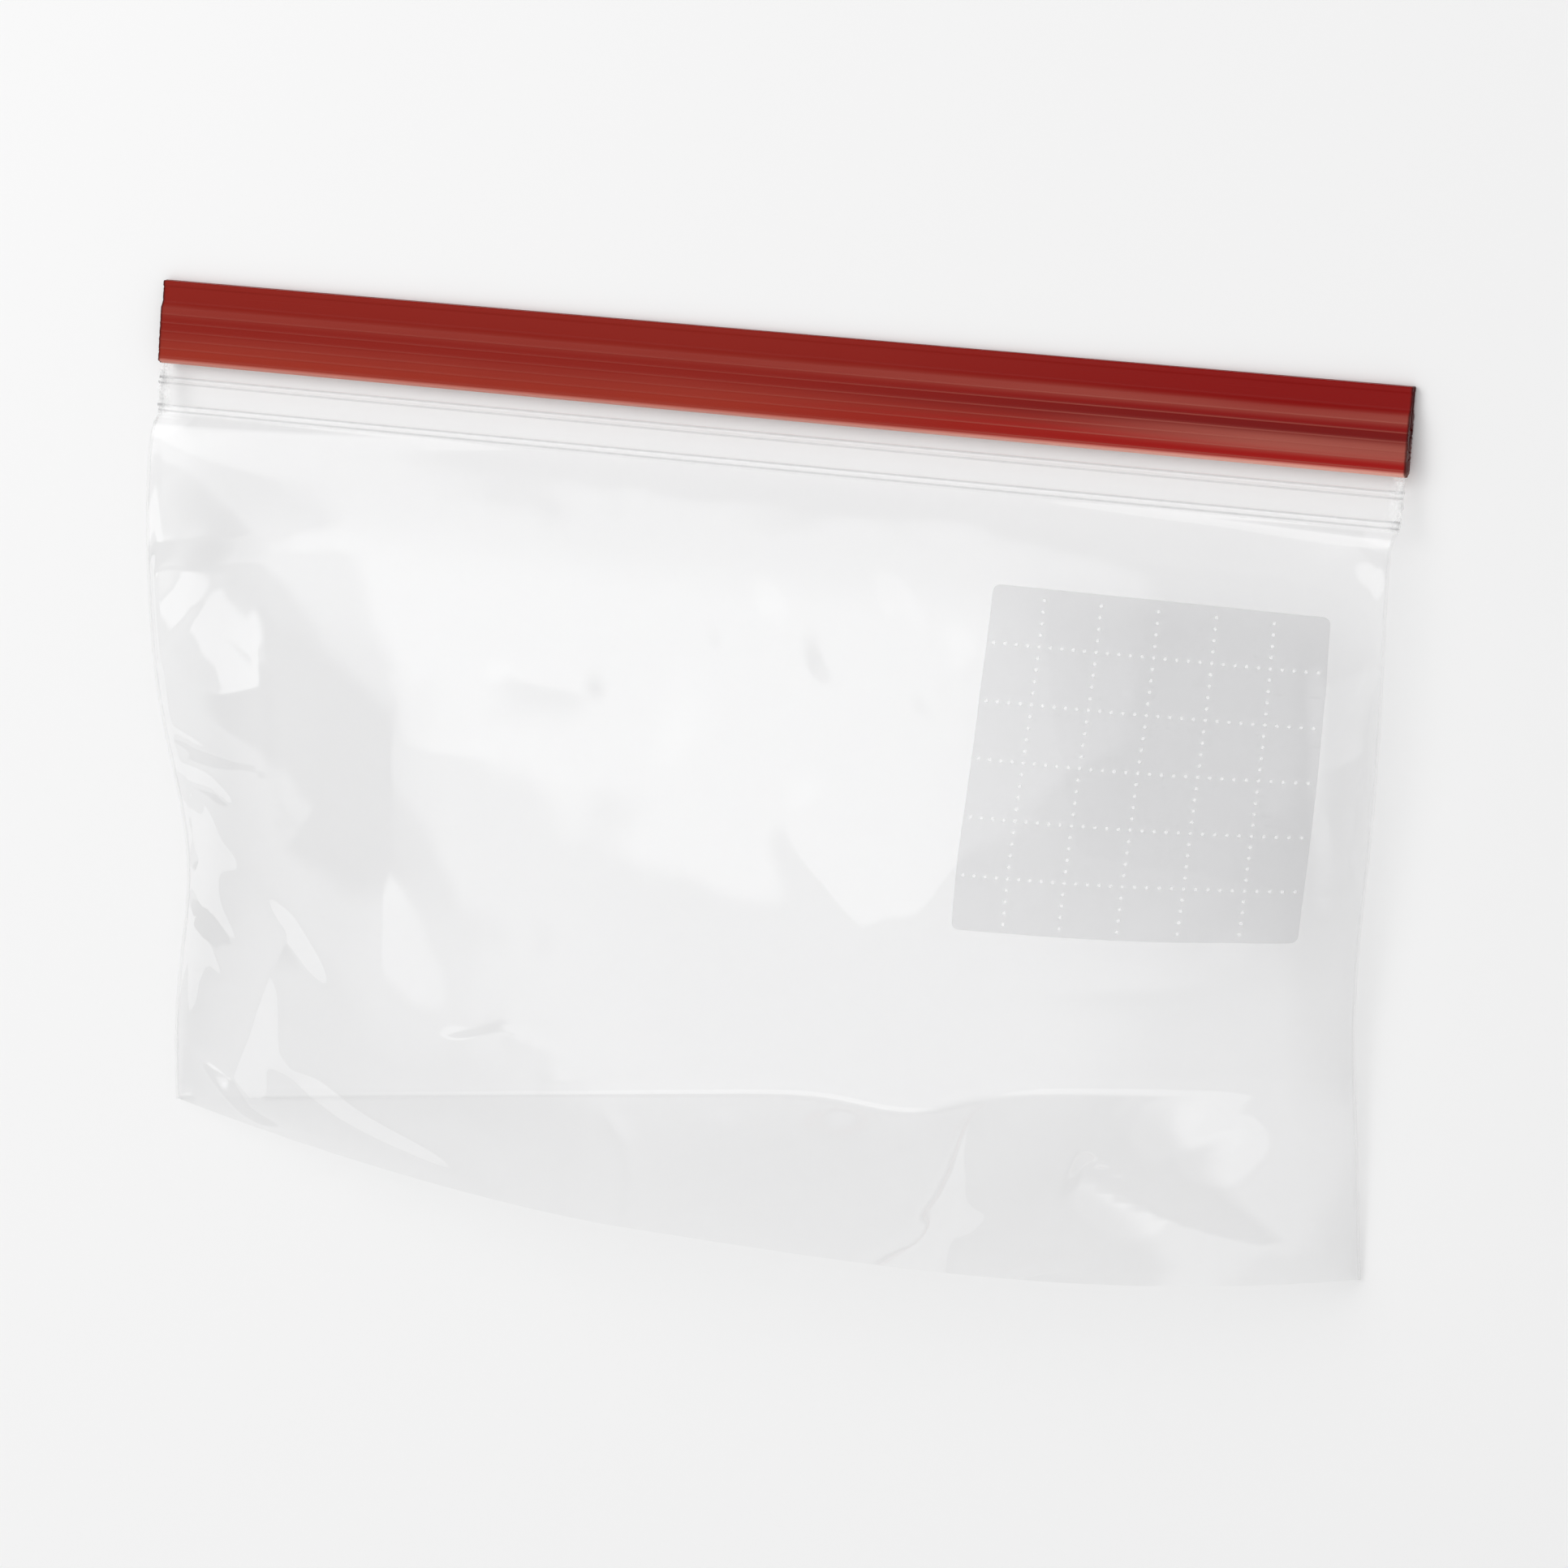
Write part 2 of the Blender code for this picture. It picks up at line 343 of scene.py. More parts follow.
@dataclass(frozen=True)
class ClearProfile(Finish):
    """Thicker clear plastic of the track and the seams, cloudy where it is crushed, with grey
    lines of painted shade along the feet of the track's beads.
    """

    name: str = "clear_track_plastic"
    tint: Color = (1.0, 1.0, 1.0, 1.0)
    body_color: Color = (0.97, 0.97, 0.97, 1.0)
    body: float = 0.012
    edge_body: float = 0.32
    edge_power: float = 4.0
    metallic: float = 0.9
    shade_line_and_seam_color: Color = (0.55, 0.55, 0.56, 1.0)
    shade_line_share: float = 0.26
    beads: tuple[float, ...] = (58.7, 53.8)
    bead_width: float = 0.95
    shade_line_fade: Point = (0.126, 0.294)
    roughness: float = 0.16
    crushed_roughness: float = 0.25
    grain: float = 700.0
    grain_step: Point = (0.3, 0.7)
    grain_depth: float = 0.000008
    outer_from: Point = (0.25, 0.35)
    track_from: Point = (50.5, 52.0)
    seam_grey: float = 0.6
    seam_body: float = 0.05
    cloud_from: Point = (114.2, 116.6)
    cloud: float = 0.35
    most: float = 0.95

    def outer_face(self, across: Wire, up: Wire) -> Wire:
        """Find the outer face of the track's front half.

        Args:
            across: The distance along Y, in millimetres.
            up: The height, in millimetres.

        Returns:
            1 on that face and 0 elsewhere.
        """
        form = BagForm()
        plane = form.mid_plane + form.tilt * (form.bag_height / 2 - across)
        return (up - plane).step(*self.outer_from) * across.step(*self.track_from)

    def bead_foot_shade(self, across: Wire) -> Wire:
        """Find the painted shade: fine grey lines along the feet of the beads.

        Args:
            across: The distance along Y, in millimetres.

        Returns:
            1 on the lines and 0 elsewhere.
        """
        lines: Wire | float = 0.0
        for bead in self.beads:
            off = abs(abs(across - bead) - self.bead_width / 2)
            lines = (1 - off.step(*self.shade_line_fade)) + lines
        return lines

    def shader(self, bench: Bench) -> Socket:
        """Lay out the surface's shader.

        Args:
            bench: The bench that holds the material's tree.

        Returns:
            The shader's socket.
        """
        place = bench.coordinates("Object")
        along, across, up = (part / MM for part in bench.split(place))
        outer = self.outer_face(across, up)
        # Painted shade: grey lines along the feet of the beads, on the front half's outer
        # face.
        bead_shade_lines = outer * self.bead_foot_shade(across)
        grain = bench.speckle(place, self.grain)
        track = across.step(*self.track_from)
        seam = 1 - track
        crushed = abs(along).step(*self.cloud_from) * grain.step(*self.grain_step) * track
        grey = bead_shade_lines.math("MAXIMUM", self.seam_grey * seam)
        sheen = bench.plastic(
            {"Base Color": bench.blend(grey, self.body_color, self.shade_line_and_seam_color),
             "Metallic": self.metallic * outer,
             "Roughness": self.roughness + self.crushed_roughness * crushed,
             "Normal": bench.bump(grain, self.grain_depth)})
        edge = bench.facing() ** self.edge_power
        share = self.body + self.edge_body * edge + self.cloud * crushed
        share = share + self.shade_line_share * bead_shade_lines + self.seam_body * seam
        share = share.math("MINIMUM", self.most)
        return bench.layer(share, bench.clear(self.tint), sheen)


@dataclass(frozen=True)
class RedPlastic(Finish):
    """Slightly see-through red polyethylene, lighter where the hem is thin, with painted
    pinkish highlights.

    The bands run along the strip. Each one gives the shares of the strip's
    height, counted down from the lip, between which it comes in and goes out.
    A pair named for a highlight, cloud or hem is a base and what is added to it
    towards the right end, or in the cloudy places. The pink bands and the crest lines are
    painted highlights.
    """

    name: str = "red_strip_plastic"
    deep: Color = (0.240, 0.005, 0.004, 1.0)
    brown: Color = (0.256, 0.014, 0.008, 1.0)
    orange: Color = (0.400, 0.046, 0.022, 1.0)
    vivid: Color = (0.345, 0.006, 0.004, 1.0)
    shaded: Color = (0.150, 0.006, 0.005, 1.0)
    highlight_pink: Color = (0.400, 0.105, 0.078, 1.0)
    hem: Color = (0.86, 0.42, 0.34, 1.0)
    cut: Color = (0.035, 0.004, 0.004, 1.0)
    roughness: float = 0.24
    ior: float = 1.48
    shine: float = 0.10
    lip_y: float = 76.2
    height: float = 14.6
    half_length: float = 117.4
    first_ridge: float = 5.81
    ridge_pitch: float = 1.52
    ridge_from: Point = (-0.4, -0.3)
    crest_line: Point = (0.05, 0.19)
    hem_from: Point = (-1.15, -0.3)
    cut_from: Point = (-0.55, -0.1)
    cut_share: float = 0.85
    rightward: Point = (-0.02, 0.10)
    far_right: Point = (0.045, 0.105)
    waver: float = 0.06
    orange_from: Point = (0.52, 0.95)
    vivid_from: Point = (0.73, 0.79)
    vivid_share: float = 0.85
    shaded_band: Band = ((0.46, 0.52), (0.62, 0.70))
    shaded_share: float = 0.7
    upper_band: Band = ((0.26, 0.35), (0.37, 0.47))
    lower_band: Band = ((0.56, 0.68), (0.76, 0.88))
    orange_cloud: Point = (0.15, 0.6)
    upper_highlight: Point = (0.16, 0.36)
    lower_highlight: Point = (0.06, 0.84)
    highlight_cloud: Point = (0.4, 1.2)
    crest_highlight: Point = (0.14, 0.34)
    crest_highlight_cloud: Point = (0.3, 1.4)
    hem_share: Point = (0.55, 0.4)
    streak_stretch: Triple = (9.0, 900.0, 900.0)
    cloud_stretch: Triple = (14.0, 90.0, 90.0)
    streak_depth: float = 0.000035
    streak_roughness: float = 0.16

    def shader(self, bench: Bench) -> Socket:
        """Lay out the surface's shader.

        Args:
            bench: The bench that holds the material's tree.

        Returns:
            The shader's socket.
        """
        place = bench.coordinates("Object")
        along, across, _ = bench.split(place)
        below = (self.lip_y * MM - across) / MM
        streaks = bench.speckle(bench.stretch(place, self.streak_stretch), 1.0, 3.0)
        cloud = bench.speckle(bench.stretch(place, self.cloud_stretch), 1.0)
        share = below / self.height + self.waver * (cloud - 0.5)
        right, far = along.step(*self.rightward), along.step(*self.far_right)
        # Painted highlights: pinkish bands along the strip, stronger towards the right end.
        highlight_share = (share.band(*self.upper_band) * right.ramp(*self.upper_highlight)
                + share.band(*self.lower_band) * far.ramp(*self.lower_highlight))
        # Painted highlights: lighter lines along the crests of the grip ridges.
        beat = (below - self.first_ridge) / self.ridge_pitch
        off = abs(beat - beat.math("ROUND")) * self.ridge_pitch
        crest = (1 - off.step(*self.crest_line)) * (below - self.first_ridge).step(
            *self.ridge_from)
        ends = (abs(along) / MM - self.half_length).step(*self.cut_from)
        low_left = share.step(*self.orange_from) * (1 - right)
        tone = bench.blend(right, self.brown, self.deep)
        for part, color in (
                (low_left * cloud.ramp(*self.orange_cloud), self.orange),
                (share.step(*self.vivid_from) * right * self.vivid_share, self.vivid),
                (share.band(*self.shaded_band) * right * self.shaded_share, self.shaded),
                (highlight_share * cloud.ramp(*self.highlight_cloud), self.highlight_pink),
                (crest * right.ramp(*self.crest_highlight) * cloud.ramp(*self.crest_highlight_cloud),
                 self.highlight_pink),
                ((below - self.height).step(*self.hem_from) * right.ramp(*self.hem_share),
                 self.hem),
                (ends * self.cut_share, self.cut)):
            tone = bench.blend(part, tone, color)
        return bench.plastic(
            {"Base Color": tone, "IOR": self.ior, "Specular IOR Level": self.shine,
             "Roughness": self.roughness + self.streak_roughness * (streaks - 0.5),
             "Normal": bench.bump(streaks, self.streak_depth)})


@dataclass(frozen=True)
class GreyPrint(Finish):
    """Thin grey ink with a grid of fine bare dots, laid out on the panel's own map."""

    name: str = "grey_print"
    ink: Color = (0.50, 0.50, 0.505, 1.0)
    pale_ink: Color = (0.58, 0.58, 0.585, 1.0)
    veil: Color = (0.966, 0.966, 0.968, 1.0)
    bare: Color = (0.98, 0.98, 0.98, 1.0)
    bare_roughness: float = 0.5
    bare_alpha: float = 0.3
    cover: float = 0.07
    ior: float = 1.45
    roughness: Point = (0.42, 0.1)
    cloud_scale: float = 38.0
    cloud_step: Point = (0.35, 0.65)
    first_column: float = 0.158
    column_step: float = 0.1705
    first_row: float = 0.168
    row_step: float = 0.168
    lines: int = 5
    cell: float = 10.0
    dots_per_cell: int = 5
    dot_radius: float = 0.31
    dot_edge: float = 0.07
    line_reach: float = 0.5
    overrun: float = 0.85
    slack: float = 0.01

    def dotted(self, bench: Bench, across: Wire, along: Wire) -> Wire:
        """Return the dots of the lines that run along one direction.

        Args:
            bench: The bench of the material.
            across: Cells counted across the lines, a whole number on each.
            along: Cells counted along the lines.

        Returns:
            1 on a dot and 0 elsewhere.
        """
        aside = (across - across.math("ROUND")) * self.cell
        beads = along * self.dots_per_cell
        ahead = (beads - beads.math("ROUND")) * (self.cell / self.dots_per_cell)
        away = (aside ** 2.0 + ahead ** 2.0).math("SQRT")
        spot = 1 - away.step(self.dot_radius - self.dot_edge, self.dot_radius + self.dot_edge)
        for count, start in ((across, self.line_reach), (along, self.overrun)):
            end = self.lines - 1 + start
            spot = spot * count.band((-start - self.slack, self.slack - start),
                                     (end - self.slack, end + self.slack))
        return spot

    def shader(self, bench: Bench) -> Socket:
        """Lay out the surface's shader.

        Args:
            bench: The bench that holds the material's tree.

        Returns:
            The shader's socket.
        """
        across, down_share, _ = bench.split(bench.coordinates("UV"))
        column = (across - self.first_column) / self.column_step
        row = (down_share - self.first_row) / self.row_step
        dots = self.dotted(bench, column, row).math("MAXIMUM",
                                                    self.dotted(bench, row, column))
        place = bench.coordinates("Object")
        cloud = bench.speckle(place, self.cloud_scale).step(*self.cloud_step)
        ink = bench.plastic({"Base Color": bench.blend(cloud, self.ink, self.pale_ink),
                             "IOR": self.ior, "Roughness": cloud.ramp(*self.roughness)})
        bare = bench.plastic({"Base Color": self.bare, "Roughness": self.bare_roughness,
                              "Alpha": self.bare_alpha})
        inked = bench.layer(self.cover, bench.clear(self.veil), ink)
        return bench.layer(dots, inked, bare)


@dataclass(frozen=True)
class PaleFloor(Finish):
    """Plain matt board under the bag."""

    name: str = "pale_board"
    color: Color = (0.93, 0.93, 0.93, 1.0)
    roughness: float = 0.9

    def shader(self, bench: Bench) -> Socket:
        """Return the surface's shader, laid out on the bench."""
        return bench.plastic({"Base Color": self.color, "Roughness": self.roughness,
                              "Specular IOR Level": 0.0})


# Form


@dataclass(frozen=True)
class BagForm:
    """The bag's sizes and the rules that give its surfaces."""

    bag_height: float = 152.4
    strip_length: float = 234.8
    strip_height: float = 14.6
    track_height: float = 8.6
    piece_gap: float = 0.3
    half_gap: float = 0.15
    tilt: float = 0.15
    mid_plane: float = 0.65
    left_edge: float = 116.7
    right_edge: float = 116.0
    left_pull: Triple = (5.3, 48.0, 24.0)
    right_pull: Triple = (3.8, 46.0, 34.0)
    right_corner: Triple = (1.4, 0.0, 25.0)
    left_seam_lift: float = 6.5
    right_seam_lift: float = 4.4
    fold_lift: float = 32.5
    fold_crest: float = -0.08
    fold_left_power: float = 1.5
    fold_right_power: float = 3.5
    bulge_over_fold: float = 1.09
    bulge_turn: float = 0.63 * math.pi
    bulge_power: float = 1.3
    pillow_power: float = 2.8
    crease_rise: float = 33.6
    crease_least: float = 0.8
    crease_dip: Triple = (3.6, 0.28, 0.12)
    flat_back: float = 0.80
    touch_down: float = 0.20
    skin_gap: float = 0.05

    @property
    def track_top(self) -> float:
        """Return y of the clear track's upper edge."""
        return self.bag_height - self.strip_height - self.piece_gap

    @property
    def pouch_top(self) -> float:
        """Return y where the films leave the clear track."""
        return self.track_top - self.track_height - self.piece_gap

    def down(self, y: float) -> float:
        """Return how far down the pouch y lies: 0 at its top, 1 at its fold."""
        return clamp(1 - y / self.pouch_top)

    def closure_lift(self, y: float) -> float:
        """Return how far the tilted closure has lifted the plane at y."""
        lift = self.tilt * (self.bag_height - max(y, self.pouch_top))
        return lift * (1 - self.down(y)) ** 3

    def seam_lift(self, y: float, side: float) -> float:
        """Return the height of the nearer side seam above the plane."""
        most = self.left_seam_lift if side < 0 else self.right_seam_lift
        return most * math.sin(math.pi * math.sqrt(self.down(y)))

    def edge(self, y: float, hand: Hand) -> float:
        """Return x of a side seam.

        Args:
            y: The place along the seam.
            hand: Which seam it is.

        Returns:
            The seam's x, negative on the left.
        """
        if hand is Hand.LEFT:
            pull, place, reach = self.left_pull
            return -(self.left_edge - pull * hump(y, place, reach))
        pull, place, reach = self.right_pull
        corner, corner_place, corner_reach = self.right_corner
        pulled = pull * hump(y, place, reach) + corner * hump(y, corner_place, corner_reach)
        return self.right_edge - pulled

    def across(self, side: float, y: float) -> float:
        """Return x for side, which runs from -1 at the left seam to 1."""
        return mix(self.edge(y, Hand.LEFT), self.edge(y, Hand.RIGHT), (side + 1) / 2)

    def fold_height(self, side: float) -> float:
        """Work out how high the bottom fold rises.

        Args:
            side: From -1 at the left seam to 1.

        Returns:
            The height above the plane.
        """
        if side < self.fold_crest:
            away = (self.fold_crest - side) / (1 + self.fold_crest)
            return self.fold_lift * (1 - away ** self.fold_left_power)
        away = (side - self.fold_crest) / (1 - self.fold_crest)
        return self.fold_lift * (1 - away ** self.fold_right_power)

    def front(self, side: float, y: float) -> float:
        """Work out the smooth front film.

        Args:
            side: From -1 at the left seam to 1.
            y: The distance up from the bottom fold.

        Returns:
            The film's height above the plane.
        """
        depth = self.down(y)
        turn = max(0.0, math.sin(self.bulge_turn * depth))
        rise = self.bulge_over_fold * turn ** self.bulge_power
        pillow = self.fold_lift * (1 - abs(side) ** self.pillow_power)
        swell = rise * mix(pillow, self.fold_height(side), depth ** 3)
        return swell + self.seam_lift(y, side) * side * side

    def back(self, side: float, y: float) -> float:
        """Work out the smooth back film, which lies on the floor.

        Args:
            side: From -1 at the left seam to 1.
            y: The distance up from the bottom fold.

        Returns:
            The film's height above the plane, which is below 0.
        """
        landed = math.sin(math.pi / 2 * min(1.0, self.down(y) / self.touch_down)) ** 2
        floor = mix(0.0, -self.mid_plane - self.closure_lift(y) + self.skin_gap, landed)
        outward = max(0.0, (abs(side) - self.flat_back) / (1 - self.flat_back))
        return mix(floor, self.seam_lift(y, side), outward ** 2)

    def crease(self, side: float) -> float:
        """Find the crease where the back film turns up to the fold.

        Args:
            side: From -1 at the left seam to 1.

        Returns:
            The crease's distance up from the bottom fold.
        """
        dip, place, reach = self.crease_dip
        rise = self.crease_rise * (side + 1) / 2
        return max(self.crease_least, rise - dip * hump(side, place, reach))

    def place(self, x: float, y: float, height: float) -> Vector:
        """Return the point in the frame, in metres."""
        up = height + self.mid_plane + self.closure_lift(y)
        return Vector((x, y - self.bag_height / 2, up)) * MM


@dataclass(frozen=True)
class Fold:
    """A fold in the film: a ridge, or a groove where its rise is negative.

    The route is walked from its first point, and left and right are the
    widths of the fold's two flanks seen that way.
    """

    route: tuple[Point, ...]
    rise: float
    left: float
    right: float
    crisp: float = 0.5
    fade_in: float = 6.0
    fade_out: float = 6.0
    reach: float = 3.6

    def near(self, x: float, y: float) -> bool:
        """Return whether the fold can be felt at a point."""
        far = self.reach * max(self.left, self.right)
        return all(min(span) - far < value < max(span) + far
                   for value, span in zip((x, y), zip(*self.route)))

    def nearest(self, x: float, y: float) -> Color:
        """Return where a point lies beside the route.

        Args:
            x: The point's x.
            y: The point's y.

        Returns:
            Its distance, its side (1 on the left), the length walked up to
            there, and the route's whole length.
        """
        best = (1e9, 1.0, 0.0)
        walked = 0.0
        for (ax, ay), (bx, by) in zip(self.route, self.route[1:]):
            dx, dy = bx - ax, by - ay
            length = math.hypot(dx, dy)
            share = clamp(((x - ax) * dx + (y - ay) * dy) / length ** 2)
            away = math.hypot(x - ax - share * dx, y - ay - share * dy)
            if away < best[0]:
                turn = dx * (y - ay) - dy * (x - ax)
                best = (away, 1.0 if turn > 0 else -1.0, walked + share * length)
            walked += length
        return (*best, walked)

    def height(self, x: float, y: float) -> float:
        """Work out how far the fold lifts the film.

        Args:
            x: The place along the strip.
            y: The distance up from the bottom fold.

        Returns:
            The lift, which is below 0 in a groove.
        """
        if not self.near(x, y):
            return 0.0
        away, hand, walked, whole = self.nearest(x, y)
        share = away / (self.left if hand > 0 else self.right)
        if share > self.reach:
            return 0.0
        profile = mix(math.exp(-share * share), math.exp(-share), self.crisp)
        profile -= mix(0.0, math.exp(-self.reach), self.crisp)
        start = smooth(walked / self.fade_in) if self.fade_in > 0 else 1.0
        end = smooth((whole - walked) / self.fade_out) if self.fade_out > 0 else 1.0
        return self.rise * profile * start * end


FRONT_FOLDS: tuple[Fold, ...] = (
    # The shoulder where the film steps up from its left side to the bulge.
    Fold(((-113, 130), (-103, 118), (-91, 108), (-81, 99), (-71, 90), (-61, 81), (-57, 70),
          (-56, 55), (-57, 38), (-63, 20), (-72, 4)), 0.5, 16.0, 9.0, 0.2, 10.0, 10.0),
    # The hollow at the shoulder's foot, whose lower part bends back to the seam.
    Fold(((-114, 103), (-105, 96), (-96, 91), (-87, 86), (-82, 81), (-77, 75), (-74.5, 70),
          (-75, 64), (-79, 59), (-86, 53)), -0.6, 7.0, 18.0, 0.8, 6.0, 14.0),
    # The puffed left side itself, whose crest runs along the seam.
    Fold(((-117, 106), (-113, 85), (-111, 58)), 1.8, 24.0, 6.0, 0.5, 6.0, 16.0),
    # The lower edge of the lit facet above the puffed left side.
    Fold(((-113, 88), (-107, 83), (-100, 81), (-86, 84)), -0.9, 8.0, 22.0, 0.8, 3.0, 5.0),
    # The broad crest that parts the steep left side from the flatter middle.
    Fold(((-60, 90), (-57, 60), (-58, 35), (-64, 6)), 1.6, 30.0, 14.0, 0.4, 14.0, 6.0, 3.0),
    # The hollow that goes on down to the bottom left corner.
    Fold(((-80, 45), (-89, 31), (-96, 17), (-104, 4)), -2.3, 13.0, 7.0, 0.8, 8.0, 4.0),
    # Short wrinkles that fan out of the left seam.
    Fold(((-114, 71.5), (-104, 69.5), (-92, 68.5)), -0.8, 1.6, 1.2, 0.8, 0.0, 9.0),
    Fold(((-113.5, 66), (-104, 66.3), (-97, 65.5)), 0.5, 1.4, 1.2, 0.8, 0.0, 8.0),
    Fold(((-113.5, 63), (-104, 62.6), (-94, 60.5)), -0.7, 1.4, 1.3, 0.8, 0.0, 9.0),
    Fold(((-113, 57), (-105, 58)), 0.4, 1.4, 1.1, 0.8, 0.0, 6.0),
    Fold(((-112, 47), (-104, 48.5), (-95, 50)), -0.6, 2.0, 1.3, 0.7, 0.0, 9.0),
    Fold(((-112.5, 41), (-104, 38.5), (-94, 33)), -0.65, 1.4, 1.8, 0.8, 0.0, 10.0),
    Fold(((-113, 35), (-104, 33), (-99, 26)), 0.5, 1.6, 1.3, 0.7, 0.0, 8.0),
    # A short crisp crease above the bottom fold, and two that run into it.
    Fold(((-47, 28.5), (-38, 30.5), (-31, 33), (-21, 31), (-14, 29.5)), 0.55, 0.9, 4.5, 0.9,
         8.0, 7.0),
    Fold(((-25, 25.5), (-17, 26.5), (-11, 28)), 0.3, 0.9, 2.5, 0.9, 5.0, 4.0),
    Fold(((-12, 24), (-7, 17), (-5.5, 10), (-8, 0)), 0.5, 1.3, 1.7, 0.9, 7.0, 0.0),
    Fold(((12.5, 26), (12, 19), (11.5, 11)), 0.3, 0.9, 1.2, 0.9, 4.0, 6.0),
    # Soft swells under the track and beside the panel.
    Fold(((-3, 98), (10, 110)), 0.5, 6.0, 5.0, 0.2, 6.0, 6.0),
    Fold(((16, 96), (34, 112)), 0.7, 7.0, 6.0, 0.2, 7.0, 7.0),
    Fold(((36, 92), (48, 104)), 0.5, 5.0, 5.0, 0.2, 6.0, 6.0),
    Fold(((-46, 96), (-34, 91), (-18, 90)), -0.5, 4.0, 3.0, 0.5, 8.0, 8.0),
    Fold(((14, 80), (22, 69), (34, 58), (41, 53)), 0.5, 6.0, 4.0, 0.5, 8.0, 8.0),
    Fold(((41, 53), (46, 64), (54, 80)), 0.4, 4.0, 6.0, 0.4, 8.0, 10.0),
    Fold(((-50, 82), (-26, 79), (2, 76.5)), 0.45, 7.0, 6.0, 0.6, 12.0, 12.0),
    # The soft wave that runs through the panel's lower edge.
    Fold(((78, 74), (88, 66), (98, 57)), -0.5, 5.0, 4.0, 0.2, 8.0, 8.0),
    Fold(((60, 90), (84, 84), (108, 80)), 0.35, 6.0, 6.0, 0.2, 10.0, 8.0),
    # Facets along the right seam.
    Fold(((117, 108), (108, 103), (100, 101)), -0.5, 3.0, 3.8, 0.7, 0.0, 8.0),
    Fold(((114, 92), (106, 88)), 0.5, 3.0, 2.4, 0.7, 0.0, 6.0),
    Fold(((113, 76), (105, 74)), -0.5, 3.0, 2.4, 0.7, 0.0, 6.0),
    Fold(((112.5, 56), (102, 52), (60, 51), (44, 45)), 0.5, 3.0, 5.0, 0.8, 0.0, 12.0),
    Fold(((112.5, 36), (100, 40), (86, 41)), 0.45, 2.4, 3.4, 0.7, 0.0, 12.0),
    Fold(((113, 22), (104, 18), (96, 12)), -0.4, 2.6, 2.2, 0.7, 0.0, 8.0),
)

WALL_FOLDS: tuple[Fold, ...] = (
    # Folds of the bottom wall between its crease and the fold.
    Fold(((64, 17), (84, 11), (114, 1.5)), 2.6, 2.0, 7.0, 0.8, 5.0, 3.0),
    Fold(((62, 17), (58, 9), (50, 2)), 0.6, 2.0, 3.0, 0.7, 4.0, 3.0),
    Fold(((80, 17), (92, 25), (98, 27)), -0.5, 3.0, 2.5, 0.6, 5.0, 4.0),
    Fold(((-23, 11), (-14, 6), (-10, 1)), 0.5, 1.4, 1.8, 0.9, 3.0, 0.0),
    Fold(((-3, 14), (0, 10.5), (4, 6)), 0.4, 1.2, 1.6, 0.9, 3.0, 3.0),
    Fold(((4, 6), (12, 9), (22, 10)), 0.4, 1.2, 1.4, 0.9, 2.0, 5.0),
    Fold(((4, 6), (10, 3)), -0.4, 1.2, 1.4, 0.9, 2.0, 3.0),
    Fold(((30, 14), (38, 8), (44, 3)), -0.4, 2.0, 2.6, 0.6, 4.0, 3.0),
    Fold(((-60, 5), (-46, 3.5), (-34, 1)), 0.4, 1.2, 2.0, 0.7, 5.0, 3.0),
)


@dataclass(frozen=True)
class Undulation:
    """Low waves of the film that follow no fold, the same on each run."""

    seed: float
    waves: tuple[Point, ...] = ((38.0, 0.55), (16.0, 0.16), (7.0, 0.035))

    def height(self, x: float, y: float) -> float:
        """Return the waves' height at a point; a wave is (length, height)."""
        return sum(rise * noise.noise(Vector((x / length, y / length, self.seed + rank)))
                   for rank, (length, rise) in enumerate(self.waves))


